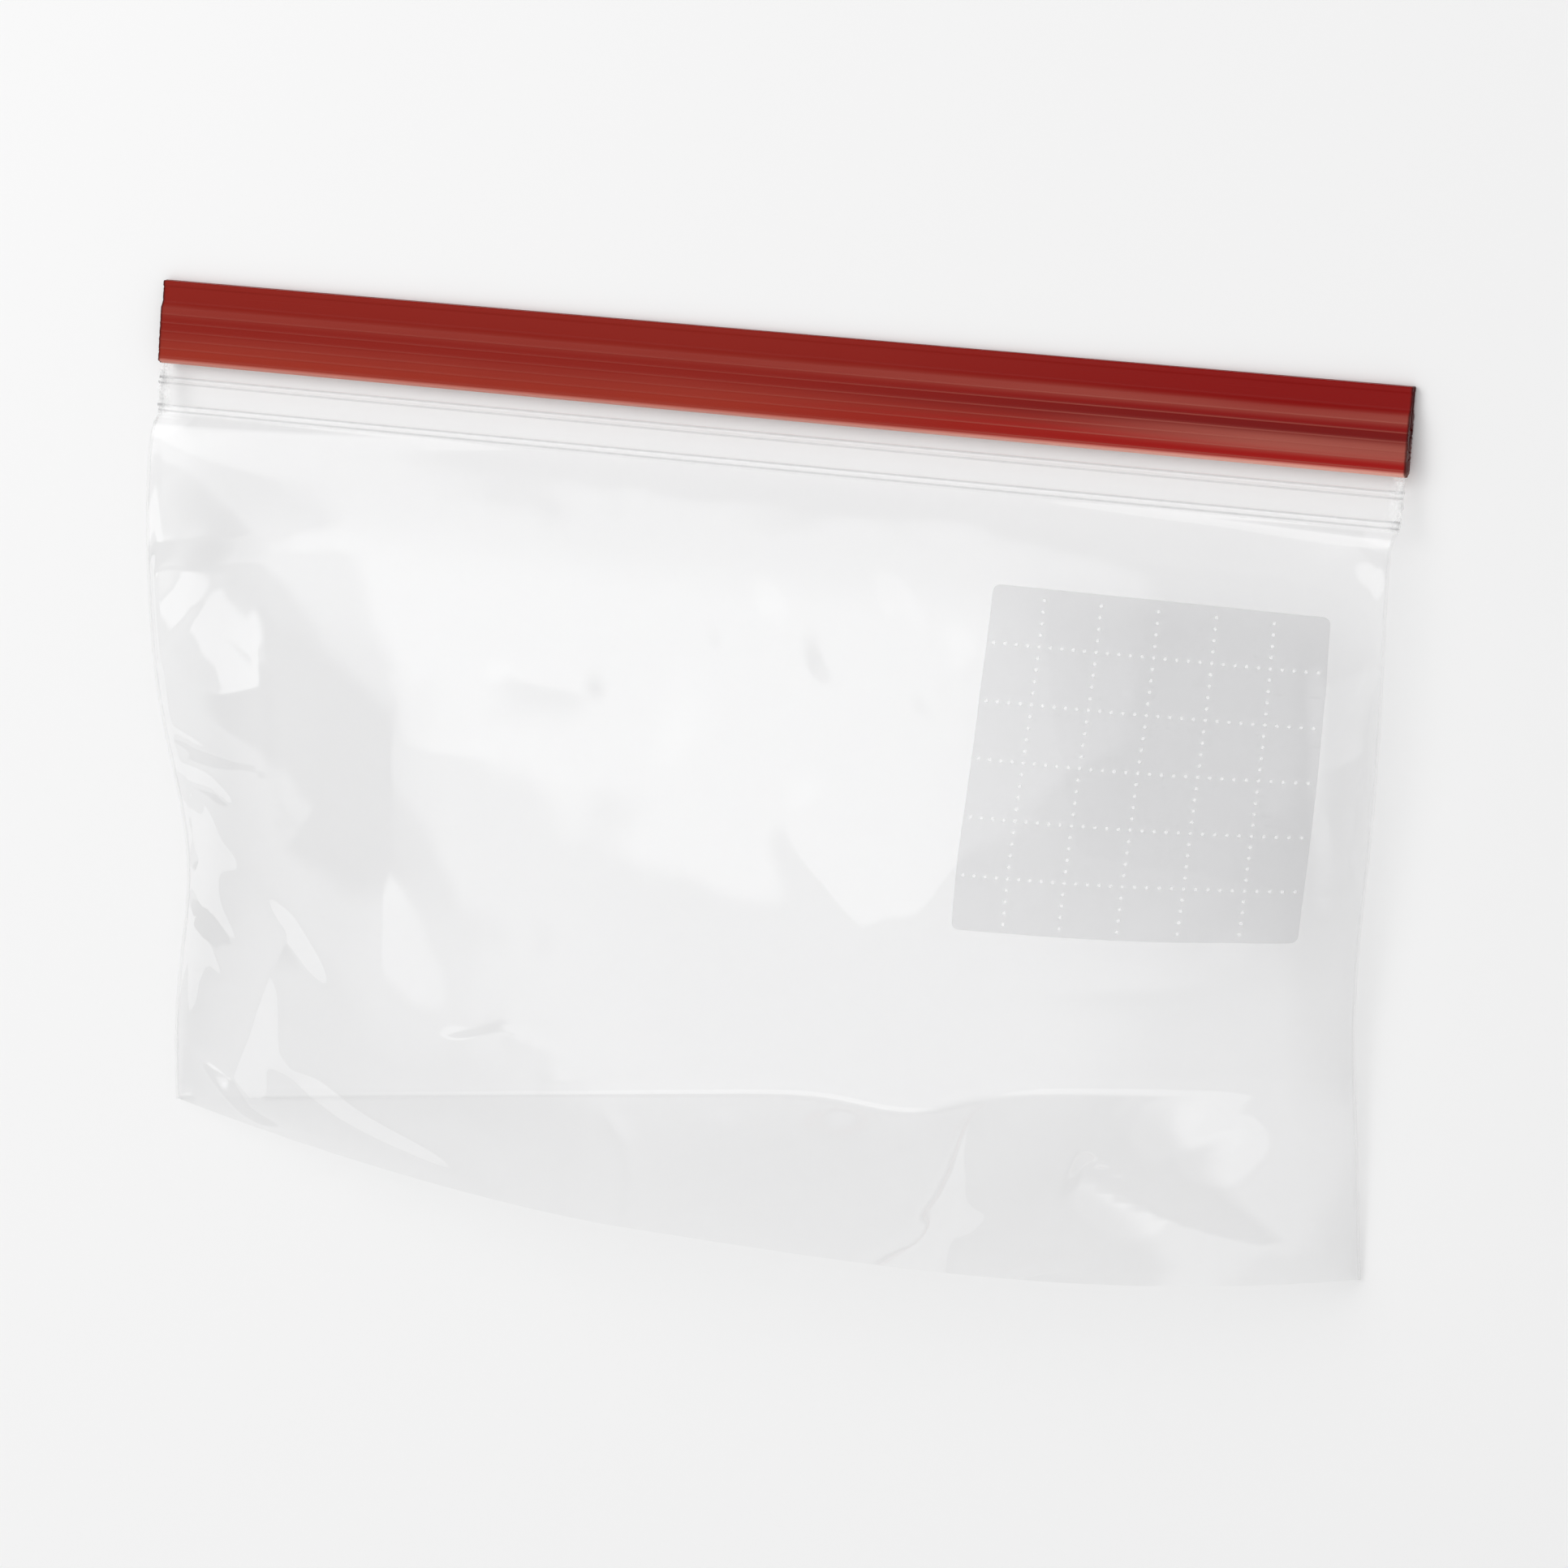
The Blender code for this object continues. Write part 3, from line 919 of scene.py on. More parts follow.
@dataclass
class FilmShape:
    """The films as they lie: the smooth form with its folds and waves."""

    form: BagForm
    front_waves: Undulation = Undulation(3.7)
    back_waves: Undulation = Undulation(11.3, ((30.0, 0.35), (12.0, 0.08)))
    quiet_edge: float = 3.0
    seam_seal: float = 60.0
    top_seal: Point = (2.0, 1.5)
    wall_edge: float = 6.0
    wall_bow: float = 0.06
    wall_hold: float = 30.0
    wall_waves: Triple = (0.5, 40.0, 3.0)

    def calm(self, side: float, y: float) -> float:
        """Work out how free the film is to fold.

        Args:
            side: From -1 at the left seam to 1.
            y: The distance up from the bottom fold.

        Returns:
            1 in the open film, falling to 0 at the seams, the track and the fold.
        """
        form = self.form
        from_seam = (1 - abs(side)) * form.left_edge / self.quiet_edge
        from_top = (form.pouch_top - y) / (3 * self.quiet_edge)
        return smooth(from_seam) * smooth(from_top) * smooth(y / self.quiet_edge)

    def front(self, side: float, y: float) -> Vector:
        """Place a point of the front film.

        Args:
            side: From -1 at the left seam to 1.
            y: The distance up from the bottom fold.

        Returns:
            The point in the frame, in metres.
        """
        form = self.form
        x = form.across(side, y)
        relief = sum(fold.height(x, y) for fold in FRONT_FOLDS) + self.front_waves.height(x, y)
        height = form.front(side, y) + relief * self.calm(side, y)
        inside = form.skin_gap * self.opening(side, y)
        return form.place(x, y, height + inside)

    def opening(self, side: float, y: float) -> float:
        """Work out how far the two films are open.

        Args:
            side: From -1 at the left seam to 1.
            y: The distance up from the bottom fold.

        Returns:
            0 where they are sealed together and 1 in the open film.
        """
        form = self.form
        over, fade = self.top_seal
        tucked = (form.pouch_top + over - y) / fade
        return clamp((1 - abs(side)) * self.seam_seal) * clamp(tucked) * clamp(y)

    def back(self, side: float, y: float) -> Vector:
        """Place a point of the back film.

        Args:
            side: From -1 at the left seam to 1.
            y: The distance up from the bottom fold.

        Returns:
            The point in the frame, in metres.
        """
        form = self.form
        x = form.across(side, y)
        relief = max(0.0, self.back_waves.height(x, y)) * self.calm(side, y)
        relief *= smooth((y - form.crease(side)) / self.wall_edge)
        inside = form.skin_gap * self.opening(side, y)
        return form.place(x, y, form.back(side, y) + relief - inside)

    def wall(self, side: float, share: float) -> Vector:
        """Return a point of the bottom wall.

        Args:
            side: From -1 at the left seam to 1.
            share: 0 at the bottom fold and 1 at the crease.

        Returns:
            The point in the frame, in metres.
        """
        form = self.form
        crease = form.crease(side)
        y = mix(0.0, crease, share)
        x = form.across(side, y)
        straight = mix(form.front(side, 0.0), form.back(side, crease), share)
        bow = self.wall_bow * form.front(side, 0.0) * math.sin(math.pi * share)
        strength, shift, squeeze = self.wall_waves
        relief = sum(fold.height(x, y) for fold in WALL_FOLDS)
        relief += strength * self.back_waves.height(x + shift, squeeze * y)
        hold = smooth((1 - abs(side)) * self.wall_hold) * math.sin(math.pi * share) ** 0.5
        return form.place(x, y, straight - bow + relief * hold)


# Pieces


def finish_piece(bm: Mesh, name: str, material: Material, sharp: float) -> Piece:
    """Turn a bmesh into a smooth-shaded piece at the origin.

    Args:
        bm: The mesh, which is freed.
        name: The piece's name.
        material: Its finish.
        sharp: The angle in degrees above which an edge stays sharp.

    Returns:
        The piece.
    """
    mesh = bpy.data.meshes.new(name)
    bm.to_mesh(mesh)
    bm.free()
    mesh.shade_smooth()
    mesh.set_sharp_from_angle(angle=math.radians(sharp))
    mesh.materials.append(material)
    piece = bpy.data.objects.new(name, mesh)
    bpy.context.scene.collection.objects.link(piece)
    return piece


def report(piece: Piece) -> None:
    """Log a piece's name and size."""
    LOG.info("%s: %d faces", piece.name, len(piece.data.polygons))


def spread(even: float, crowd: float) -> float:
    """Return a place from -1 to 1, crowded towards both ends."""
    return mix(even, math.sin(even * math.pi / 2), crowd)


@dataclass
class Pouch:
    """The clear film pouch: front, back and the bottom wall, as one closed skin."""

    film: FilmShape
    columns: int = 300
    front_rows: int = 190
    back_rows: int = 56
    wall_rows: int = 22
    tuck: float = 2.0
    crowd: float = 0.35
    row_crowd: float = 0.2
    weld: float = 0.00002

    @property
    def top(self) -> float:
        """Return y of the films' upper ends, which are tucked into the track."""
        return self.film.form.pouch_top + self.tuck

    def edges(self, verts: Sequence[Vert]) -> list[list[Vert]]:
        """Return the vertices of a fresh sheet's left and right edges, from the fold up."""
        return [sorted((vert for vert in verts if vert.co.x * hand.value > 0.99999),
                       key=lambda vert: vert.co.y) for hand in Hand]

    def front_sheet(self, bm: Mesh) -> list[list[Vert]]:
        """Add the front film, from its tuck in the track to the fold.

        Args:
            bm: The mesh to add it to.

        Returns:
            The vertices of its left and right edges, from the fold up.
        """
        made = bmesh.ops.create_grid(bm, x_segments=self.columns,
                                     y_segments=self.front_rows, size=1.0)
        edges = self.edges(made["verts"])
        for vert in made["verts"]:
            side = spread(vert.co.x, self.crowd)
            y = self.top * (spread(vert.co.y, self.row_crowd) + 1) / 2
            vert.co = self.film.front(side, max(0.0, y))
        return edges

    def back_sheet(self, bm: Mesh) -> list[list[Vert]]:
        """Add the bottom wall and the back film as one sheet.

        Args:
            bm: The mesh to add it to.

        Returns:
            The vertices of its left and right edges, from the fold up.
        """
        rows = self.wall_rows + self.back_rows
        made = bmesh.ops.create_grid(bm, x_segments=self.columns, y_segments=rows,
                                     size=1.0)
        edges = self.edges(made["verts"])
        for vert in made["verts"]:
            side = spread(vert.co.x, self.crowd)
            row = (vert.co.y + 1) / 2 * rows
            if row <= self.wall_rows:
                vert.co = self.film.wall(side, row / self.wall_rows)
            else:
                share = (row - self.wall_rows) / self.back_rows
                crease = self.film.form.crease(side)
                vert.co = self.film.back(side, mix(crease, self.top, share))
        return edges

    def zip_up(self, bm: Mesh, first: Sequence[Vert], second: Sequence[Vert]) -> None:
        """Join two edges that run up the same seam at different steps.

        Args:
            bm: The mesh of both sheets.
            first: The vertices of one edge, from the fold up.
            second: The vertices of the other edge.
        """
        one, two = 0, 0
        while one + 1 < len(first) or two + 1 < len(second):
            if two + 1 == len(second) or (one + 1 < len(first)
                                          and first[one + 1].co.y <= second[two + 1].co.y):
                bm.faces.new((first[one], first[one + 1], second[two]))
                one += 1
            else:
                bm.faces.new((first[one], second[two + 1], second[two]))
                two += 1

    def build(self, finish: ClearFilm) -> Piece:
        """Return the pouch in its finish, standing for the film's solid.

        Args:
            finish: The film's finish.

        Returns:
            The piece.
        """
        bm = bmesh.new()
        fronts, backs = self.front_sheet(bm), self.back_sheet(bm)
        edges = [edge for edge in bm.edges if edge.is_boundary]
        rim = list({vert for edge in edges for vert in edge.verts})
        for front, back in zip(fronts, backs):
            self.zip_up(bm, front, back)
        bmesh.ops.remove_doubles(bm, verts=rim, dist=self.weld)
        bmesh.ops.recalc_face_normals(bm, faces=bm.faces[:])
        piece = finish_piece(bm, "film_skin", finish.make(), 70.0)
        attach(piece, "root")
        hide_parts("film_pouch")
        return piece


@dataclass
class WritingPanel:
    """The grey printed panel: a thin skin that follows the front film."""

    film: FilmShape
    left_top: float = 0.412
    left_foot: float = 0.441
    right: float = 0.923
    top: float = 114.4
    foot: float = 59.6
    width: float = 59.0
    height: float = 59.0
    corner: float = 1.3
    lift: float = 0.06
    thickness: float = 0.05
    steps: int = 110

    def rounded(self, across: float, along: float) -> Point:
        """Return a place with the panel's corners drawn in to arcs.

        Args:
            across: The share across the panel, from 0 to 1.
            along: The share down the panel, from 0 to 1.

        Returns:
            The moved shares.
        """
        x = (across - 0.5) * self.width
        y = (along - 0.5) * self.height
        out_x = abs(x) - (self.width / 2 - self.corner)
        out_y = abs(y) - (self.height / 2 - self.corner)
        if out_x > 0 and out_y > 0:
            draw = max(out_x, out_y) / math.hypot(out_x, out_y)
            x = math.copysign(self.width / 2 - self.corner + out_x * draw, x)
            y = math.copysign(self.height / 2 - self.corner + out_y * draw, y)
        return x / self.width + 0.5, y / self.height + 0.5

    def build(self, finish: GreyPrint) -> Piece:
        """Return the panel in its finish.

        Args:
            finish: The print's finish.

        Returns:
            The piece.
        """
        bm = bmesh.new()
        made = bmesh.ops.create_grid(bm, x_segments=self.steps, y_segments=self.steps,
                                     size=1.0, calc_uvs=False)
        shares = {}
        for vert in made["verts"]:
            across, along = self.rounded((vert.co.x + 1) / 2, (1 - vert.co.y) / 2)
            shares[vert] = (across, along)
            side = mix(mix(self.left_top, self.left_foot, along), self.right, across)
            y = mix(self.top, self.foot, along)
            vert.co = self.film.front(side, y) + Vector((0, 0, self.lift * MM))
        layer = bm.loops.layers.uv.new("print")
        for face in bm.faces:
            for loop in face.loops:
                loop[layer].uv = shares[loop.vert]
        bmesh.ops.recalc_face_normals(bm, faces=bm.faces[:])
        if sum(face.normal.z for face in bm.faces) < 0:
            bmesh.ops.reverse_faces(bm, faces=bm.faces[:])
        piece = finish_piece(bm, "panel_print", finish.make(), 60.0)
        body = piece.modifiers.new("thickness", "SOLIDIFY")
        body.thickness = self.thickness * MM
        body.offset = 1.0
        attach(piece, "root")
        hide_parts("writing_panel")
        return piece


@dataclass
class ProfileBar:
    """A long plastic profile that runs along the strip, with a front or a back half."""

    form: BagForm
    steps: int = 170
    rib_slope: float = 0.85
    sample: float = 0.1

    def rise(self, below: float) -> float:
        """Return the outer face's height at a distance below the profile's top."""
        raise NotImplementedError

    def inner(self, face: Face) -> list[Point]:
        """Return the inner face's (below, height) points, from the lower end up."""
        raise NotImplementedError

    def extrude(self, face: Face, top: float, span: Point, length: float) -> Mesh:
        """Return a bar of the section, cut into even steps along its length.

        Args:
            face: The front or the back half.
            top: The place y from which the section is measured down.
            span: Where the outer face starts and ends below there.
            length: The bar's length.

        Returns:
            The closed bar, in the bag's own coordinates and millimetres.
        """
        bm = bmesh.new()
        count = round((span[1] - span[0]) / self.sample)
        outer = [mix(*span, index / count) for index in range(count + 1)]
        section = [(below, self.rise(below)) for below in outer] + self.inner(face)
        ring = [bm.verts.new((-length / 2, top - below, face.value * height))
                for below, height in section]
        cap = bm.faces.new(ring)
        swept = bmesh.ops.extrude_face_region(bm, geom=[cap], use_keep_orig=True)
        moved = [item for item in swept["geom"] if isinstance(item, Vert)]
        bmesh.ops.translate(bm, verts=moved, vec=(length, 0, 0))
        long_edges = [edge for edge in bm.edges
                      if abs(edge.verts[0].co.x - edge.verts[1].co.x) > length / 2]
        bmesh.ops.subdivide_edges(bm, edges=long_edges, cuts=self.steps - 1,
                                  use_grid_fill=True)
        return bm

    def rib(self, face: Face, place: float, width: float, depth: float) -> list[Point]:
        """Return the inner face's points round one rib, or its groove behind.

        Args:
            face: The front half has the rib, and the back half the groove.
            place: How far below the profile's top the rib lies.
            width: The rib's width.
            depth: How far the rib stands out.

        Returns:
            The (below, height) points, from the rib's lower side up.
        """
        gap, half = self.form.half_gap, width / 2
        if face is Face.BACK:
            half += self.form.piece_gap
            depth = -(depth + self.form.piece_gap - 2 * gap)
        return [(place + half, gap), (place + self.rib_slope * half, gap - depth),
                (place - self.rib_slope * half, gap - depth), (place - half, gap)]

    def close(self, bm: Mesh) -> None:
        """Put the bar in the frame and turn its faces outwards.

        Args:
            bm: The bar's mesh, in the bag's own coordinates.
        """
        for vert in bm.verts:
            vert.co = self.form.place(*vert.co)
        caps = [face for face in bm.faces if len(face.verts) > 4]
        bmesh.ops.triangulate(bm, faces=caps, quad_method="BEAUTY", ngon_method="BEAUTY")
        bmesh.ops.recalc_face_normals(bm, faces=bm.faces[:])


@dataclass
class ClosingStrip(ProfileBar):
    """One half of the red strip: a smooth lip, a step and fine grip ridges."""

    lip_rise: float = 0.45
    lip_bead: float = 0.65
    bead_edge: float = 0.25
    bead_end: Point = (0.7, 0.5)
    lip_length: float = 3.4
    lip_crown: float = 0.10
    crown_length: float = 4.4
    grip_rise: float = 1.10
    grip_slope: float = 1.5
    ridge_rise: float = 0.11
    ridge_width: float = 0.34
    ridge_count: int = 6
    ridge_start: float = 0.6
    ridge_pitch: float = 1.52
    hem_rise: float = 0.35
    hem_length: float = 0.55
    ribs: tuple[float, ...] = (7.6, 11.2)
    rib_width: float = 1.0
    rib_depth: float = 0.5
    sample: float = 0.085
    ragged: float = 0.32
    ragged_reach: float = 0.6
    nicks: Triple = (1.3, 3.0, 2.0)
    twist: float = 0.16
    twist_wave: Point = (41.0, 0.8)
    twist_lever: Point = (5.0, 7.0)
    softness: float = 0.06
    soft_waves: Triple = (22.0, 3.0, 5.1)
    skin: float = 0.3
    dents: tuple[Triple, ...] = (
        (3.0, 4.2, -0.22), (13.5, 3.6, -0.16), (17.5, 8.6, -0.10))
    dent_length: float = 4.0
    dent_height: float = 1.3

    def rise(self, below: float) -> float:
        """Work out the outer face's profile.

        Args:
            below: The distance below the lip.

        Returns:
            The face's height above the plane.
        """
        crown = math.sin(math.pi * clamp(below / self.crown_length))
        height = self.lip_rise + self.lip_crown * crown
        bead = self.lip_bead - self.lip_rise
        end, fade = self.bead_end
        height += bead * smooth(below / self.bead_edge) * (1 - smooth((below - end) / fade))
        height += (self.grip_rise - self.lip_rise) * smooth(
            (below - self.lip_length) / self.grip_slope)
        start = self.lip_length + self.grip_slope
        for index in range(self.ridge_count):
            ridge = start + (index + self.ridge_start) * self.ridge_pitch
            height += self.ridge_rise * hump(below, ridge, self.ridge_width / 2)
        hem = smooth((below - self.form.strip_height) / self.hem_length + 1)
        return mix(height, self.hem_rise, hem)

    def inner(self, face: Face) -> list[Point]:
        """Work out the inner face's profile with its ribs.

        Args:
            face: The front or the back half.

        Returns:
            Points (below, height), from the hem up.
        """
        gap = self.form.half_gap
        points = [(self.form.strip_height, gap)]
        for place in reversed(self.ribs):
            points += self.rib(face, place, self.rib_width, self.rib_depth)
        return points + [(0.0, gap)]

    def wander(self, x: float, below: float) -> float:
        """Work out the slow twist and the small dents of the strip's face.

        Args:
            x: The place along the strip.
            below: The distance below the lip.

        Returns:
            What they add to the height.
        """
        length, shift = self.twist_wave
        middle, arm = self.twist_lever
        twist = self.twist * math.sin(x / length + shift) * (below - middle) / arm
        along, down, seed = self.soft_waves
        soft = self.softness * noise.noise(Vector((x / along, below / down, seed)))
        dents = (depth * hump(x, place, self.dent_length)
                 * hump(below, row, self.dent_height) for place, row, depth in self.dents)
        return twist + soft + sum(dents)

    def build(self, face: Face, finish: Material) -> Piece:
        """Return one half of the strip.

        Args:
            face: The front or the back half.
            finish: The red plastic.

        Returns:
            The piece.
        """
        top, sign = self.form.bag_height, face.value
        span = (0.0, self.form.strip_height)
        bm = self.extrude(face, top, span, self.form.strip_length)
        half = self.form.strip_length / 2
        scale, apart, seed = self.nicks
        for vert in bm.verts:
            x, y, height = vert.co
            below = top - y
            outward = clamp((sign * height - self.form.half_gap) / self.skin)
            if face is Face.FRONT:
                vert.co.z += outward * self.wander(x, below)
            end = smooth((abs(x) - half + self.ragged_reach) / self.ragged_reach)
            nick = noise.noise(Vector((below * scale, math.copysign(apart, x), sign * seed)))
            vert.co.x -= math.copysign(end * self.ragged * abs(nick), x)
        self.close(bm)
        piece = finish_piece(bm, f"strip_{face.name.lower()}_half", finish, 45.0)
        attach(piece, "root")
        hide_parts(f"closing_strip_{face.name.lower()}")
        return piece


@dataclass
class ClearTrack(ProfileBar):
    """One half of the clear track: a thin band with two beads, crushed at its ends."""

    band_rise: float = 0.42
    bead_rise: float = 0.92
    bead_width: float = 1.5
    beads: tuple[float, ...] = (2.6, 7.5)
    rib_place: float = 2.6
    rib_width: float = 0.5
    rib_depth: float = 0.35
    band_edge: float = 0.5
    foot_rise: float = 0.05
    foot_length: float = 0.45
    tuck: float = 1.8
    tuck_rise: float = 0.11
    tuck_inner: float = 0.03
    tuck_mouth: Point = (0.3, -0.1)
    crush: float = 3.2
    crush_waves: Triple = (1.1, 0.9, 4.0)
    crush_share: Point = (0.7, 0.5)
    crush_shift: float = 0.35
    skin: float = 0.3
    unevenness: float = 0.012
    uneven_length: float = 9.0
    shorter: float = 0.8
    sample: float = 0.12

    def rise(self, below: float) -> float:
        """Work out the outer face's profile.

        Args:
            below: The distance below the track's top.

        Returns:
            The face's height above the plane.
        """
        if below < 0:
            return self.tuck_rise
        height = mix(self.tuck_rise, self.band_rise, smooth(below / self.band_edge))
        for bead in self.beads:
            share = abs(below - bead) / (self.bead_width / 2)
            if share < 1:
                height += (self.bead_rise - self.band_rise) * math.sqrt(1 - share ** 2)
        foot = smooth((below - self.form.track_height) / self.foot_length + 1)
        return mix(height, self.form.half_gap + self.foot_rise, foot)

    def inner(self, face: Face) -> list[Point]:
        """Work out the inner face's profile with its rib.

        Args:
            face: The front or the back half.

        Returns:
            Points (below, height), from the foot up.
        """
        gap = self.form.half_gap
        mouth, step = self.tuck_mouth
        return [(self.form.track_height, gap),
                *self.rib(face, self.rib_place, self.rib_width, self.rib_depth),
                (mouth, gap), (step, self.tuck_inner), (-self.tuck, self.tuck_inner)]

    def build(self, face: Face, finish: Material) -> Piece:
        """Return one half of the track.

        Args:
            face: The front or the back half.
            finish: The clear plastic.

        Returns:
            The piece.
        """
        sign, span = face.value, (-self.tuck, self.form.track_height)
        length = self.form.strip_length - self.shorter
        bm = self.extrude(face, self.form.track_top, span, length)
        across, down, seed = self.crush_waves
        least, swing = self.crush_share
        for vert in bm.verts:
            x, y, height = vert.co
            end = smooth((abs(x) - length / 2 + self.crush) / self.crush)
            rough = noise.noise(Vector((x * across, y * down, sign * seed)))
            over = sign * height - self.band_rise
            if over > 0:
                vert.co.z -= sign * over * end * (least + swing * rough)
            if sign * height > self.skin:
                uneven = noise.noise(Vector((x / self.uneven_length, y, 1.0)))
                vert.co.z += sign * self.unevenness * uneven
            vert.co.x += end * self.crush_shift * rough
        self.close(bm)
        piece = finish_piece(bm, f"track_{face.name.lower()}_half", finish, 50.0)
        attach(piece, "root")
        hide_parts(f"clear_track_{face.name.lower()}")
        return piece


@dataclass
class SideSeam:
    """The melted bead that closes a side of the bag, from the fold to the strip."""

    form: BagForm
    hand: Hand
    width: float = 0.62
    thickness: float = 0.46
    steps: int = 420
    sides: int = 12
    wobble: float = 0.05
    wobble_length: float = 4.0
    unevenness: float = 0.08
    uneven_length: float = 2.5
    seed: float = 7.0
    top_inset: float = 0.7
    top_turn: Point = (3.0, 6.0)
    weld: float = 0.000002

    def middle(self, y: float) -> Point:
        """Find the middle of the bead.

        Args:
            y: The distance up from the bottom fold.

        Returns:
            Its x and its height.
        """
        form = self.form
        side = float(self.hand.value)
        x = form.edge(min(y, form.pouch_top), self.hand)
        before, length = self.top_turn
        over = smooth((y - form.pouch_top + before) / length)
        end = side * (form.strip_length / 2 - self.top_inset)
        height = form.seam_lift(y, side)
        sway = self.wobble * noise.noise(Vector((y / self.wobble_length, side, 0.0)))
        return mix(x, end, over) + sway, height

    def build(self, finish: Material) -> Piece:
        """Return the seam.

        Args:
            finish: The clear plastic.

        Returns:
            The piece.
        """
        bm = bmesh.new()
        made = bmesh.ops.create_grid(bm, x_segments=self.sides, y_segments=self.steps,
                                     size=1.0)
        top = self.form.track_top + self.form.piece_gap
        for vert in made["verts"]:
            turn = math.pi * (vert.co.x + 1)
            y = top * (vert.co.y + 1) / 2
            x, height = self.middle(y)
            uneven = noise.noise(Vector((y / self.uneven_length, self.seed, self.hand.value)))
            size = 1 + self.unevenness * uneven
            x += self.width / 2 * size * math.cos(turn)
            height += self.thickness / 2 * size * math.sin(turn)
            vert.co = self.form.place(x, y, height)
        bmesh.ops.remove_doubles(bm, verts=bm.verts[:], dist=self.weld)
        bmesh.ops.holes_fill(bm, edges=[e for e in bm.edges if e.is_boundary], sides=0)
        bmesh.ops.recalc_face_normals(bm, faces=bm.faces[:])
        piece = finish_piece(bm, f"side_seam_{self.hand.name.lower()}", finish, 60.0)
        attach(piece, "root")
        return piece


# Studio


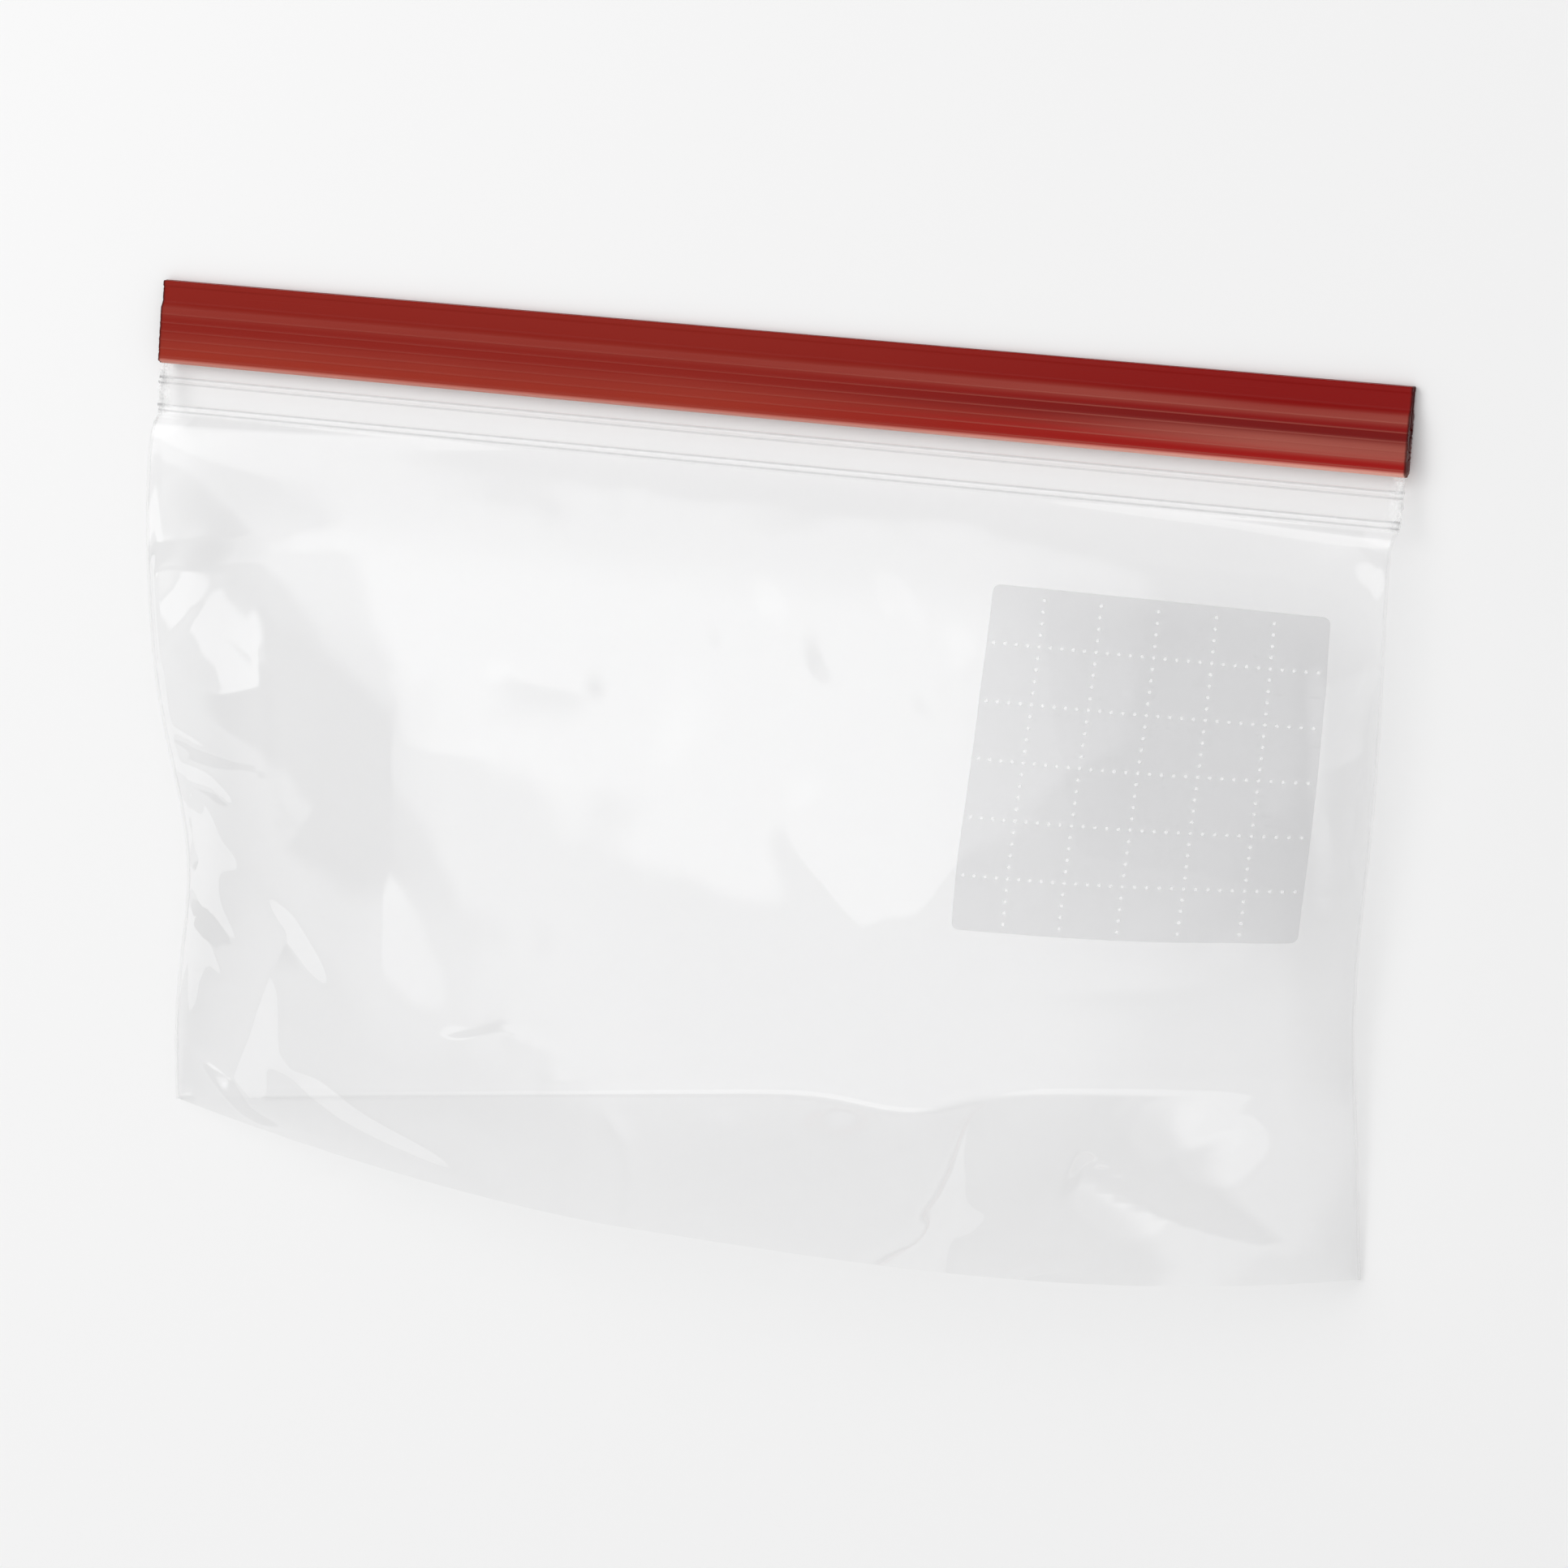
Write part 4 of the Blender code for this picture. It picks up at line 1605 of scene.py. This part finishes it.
@dataclass
class Studio:
    """A pale floor, soft light from the upper left, and the camera.

    The surroundings are one smooth field of levels. Each way is the middle of
    a lit or a dark panel, and each edge the two values over which it fades.
    """

    floor_size: float = 6.0
    floor_drop: float = 0.0002
    yaw: Vector = field(default_factory=lambda: Vector((0.4067, 0.2300, 0.8841)))
    roll: float = math.radians(0.88)
    distance: float = 1.003
    aside: float = 0.0069
    above: float = 0.0712
    target_y: float = -0.0762
    target_z: float = 0.00175
    focal: float = 130.43
    lobe_way: Triple = (-0.30, 0.62, 0.725)
    glint_way: Triple = (-0.74, -0.12, 0.662)
    shade_way: Triple = (-0.63, 0.08, 0.773)
    dark_level: float = 0.80
    mid_level: float = 1.38
    lobe_level: float = 2.15
    core_level: float = 2.50
    left_level: float = 0.62
    glint_level: float = 1.2
    gap_depth: float = 0.88
    shade_depth: float = 0.50
    back_depth: float = 0.65
    mid_edge: Point = (0.30, 0.66)
    lobe_edge: Point = (0.935, 0.955)
    core_edge: Point = (0.990, 0.997)
    left_edge: Point = (0.50, 0.66)
    left_share: float = 0.8
    gap_slant: float = 0.7
    gap_edge: Point = (0.45, 0.52)
    gap_end: Point = (0.62, 0.70)
    shade_edge: Point = (0.990, 0.998)
    glint_edge: Point = (0.989, 0.996)
    back_edge: Point = (0.58, 0.78)
    fill: float = 1.012
    key_place: Triple = (-0.70, 0.48, 0.88)
    key_size: float = 0.8
    key_power: float = 4.0
    bounces: Mapping[str, int] = field(default_factory=lambda: {
        "transparent_max_bounces": 20, "max_bounces": 6, "diffuse_bounces": 2,
        "glossy_bounces": 3})

    def floor(self) -> None:
        """Add the floor, which isn't part of the bag."""
        bm = bmesh.new()
        bmesh.ops.create_grid(bm, x_segments=2, y_segments=2, size=self.floor_size / 2)
        bmesh.ops.translate(bm, verts=bm.verts[:], vec=(0, 0, -self.floor_drop))
        board = finish_piece(bm, "pale_floor", PaleFloor().make(), 30.0)

    def surroundings(self) -> None:
        """Give the gloss soft lit panels to pick up, with a dark gap between two."""
        world = bpy.data.worlds.new("soft_studio")
        bpy.context.scene.world = world
        world.use_nodes = True
        bench = Bench(world.node_tree)
        way = bench.coordinates("Generated")
        across, along, _ = bench.split(way)
        near = bench.dot(way, self.lobe_way)
        left = -1.0 * across
        level = near.step(*self.mid_edge).ramp(self.dark_level,
                                               self.mid_level - self.dark_level)
        level = level + (self.lobe_level - self.mid_level) * near.step(*self.lobe_edge)
        level = level + (self.left_level - level) * (self.left_share
                                                     * left.step(*self.left_edge))
        slanted = along + self.gap_slant * left
        gap = slanted.step(*self.gap_edge) * left.step(*self.gap_end)
        shade = bench.dot(way, self.shade_way).step(*self.shade_edge)
        level = level * (1 - self.gap_depth * gap)
        level = level * (1 - self.shade_depth * shade * (1 - gap))
        level = level * (1 - self.back_depth * along.step(*self.back_edge))
        glint = bench.dot(way, self.glint_way).step(*self.glint_edge)
        level = level + self.glint_level * glint * (1 - gap)
        level = level + (self.core_level - self.lobe_level) * near.step(*self.core_edge)
        back = bench.node("ShaderNodeBackground", None, {"Strength": self.fill * level})
        bench.show(back.outputs[0], "ShaderNodeOutputWorld")

    def key(self) -> None:
        """Add the soft key light from the upper left."""
        data = bpy.data.lights.new("key", "AREA")
        data.energy = self.key_power
        data.size = self.key_size
        lamp = bpy.data.objects.new("key", data)
        lamp.visible_glossy = False
        bpy.context.scene.collection.objects.link(lamp)
        place = Vector(self.key_place)
        lamp.matrix_world = (Matrix.Translation(place)
                             @ place.to_track_quat("Z", "Y").to_matrix().to_4x4())

    def camera(self) -> None:
        """Add the camera, which looks down on the bag from its upper right."""
        back = self.yaw.normalized()
        right = Vector((0, 1, 0)).cross(back).normalized()
        up = back.cross(right)
        turned_right = right * math.cos(self.roll) + up * math.sin(self.roll)
        turned_up = up * math.cos(self.roll) - right * math.sin(self.roll)
        place = back * self.distance + turned_right * self.aside + turned_up * self.above
        place += Vector((0, self.target_y, self.target_z))
        data = bpy.data.cameras.new("camera")
        data.lens = self.focal
        data.sensor_width = 36.0
        data.clip_start, data.clip_end = 0.01, 20.0
        eye = bpy.data.objects.new("camera", data)
        bpy.context.scene.collection.objects.link(eye)
        axes = Matrix((turned_right, turned_up, back)).transposed().to_4x4()
        eye.matrix_world = Matrix.Translation(place) @ axes
        bpy.context.scene.camera = eye

    def build(self) -> None:
        """Build the floor, the light and the camera."""
        scene = bpy.context.scene
        scene.view_settings.view_transform = "Standard"
        for kind, bounces in self.bounces.items():
            setattr(scene.cycles, kind, bounces)
        self.floor()
        self.surroundings()
        self.key()
        self.camera()


def main() -> None:
    """Build the bag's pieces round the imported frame, and the studio."""
    logging.basicConfig(level=logging.INFO, format="%(name)s %(message)s")
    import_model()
    form = BagForm()
    film = FilmShape(form)
    red = RedPlastic().make()
    clear = ClearProfile().make()
    report(Pouch(film).build(ClearFilm()))
    report(WritingPanel(film).build(GreyPrint()))
    for face in Face:
        report(ClosingStrip(form).build(face, red))
        report(ClearTrack(form).build(face, clear))
    for hand in Hand:
        report(SideSeam(form, hand).build(clear))
    Studio().build()


if __name__ == "__main__":
    main()
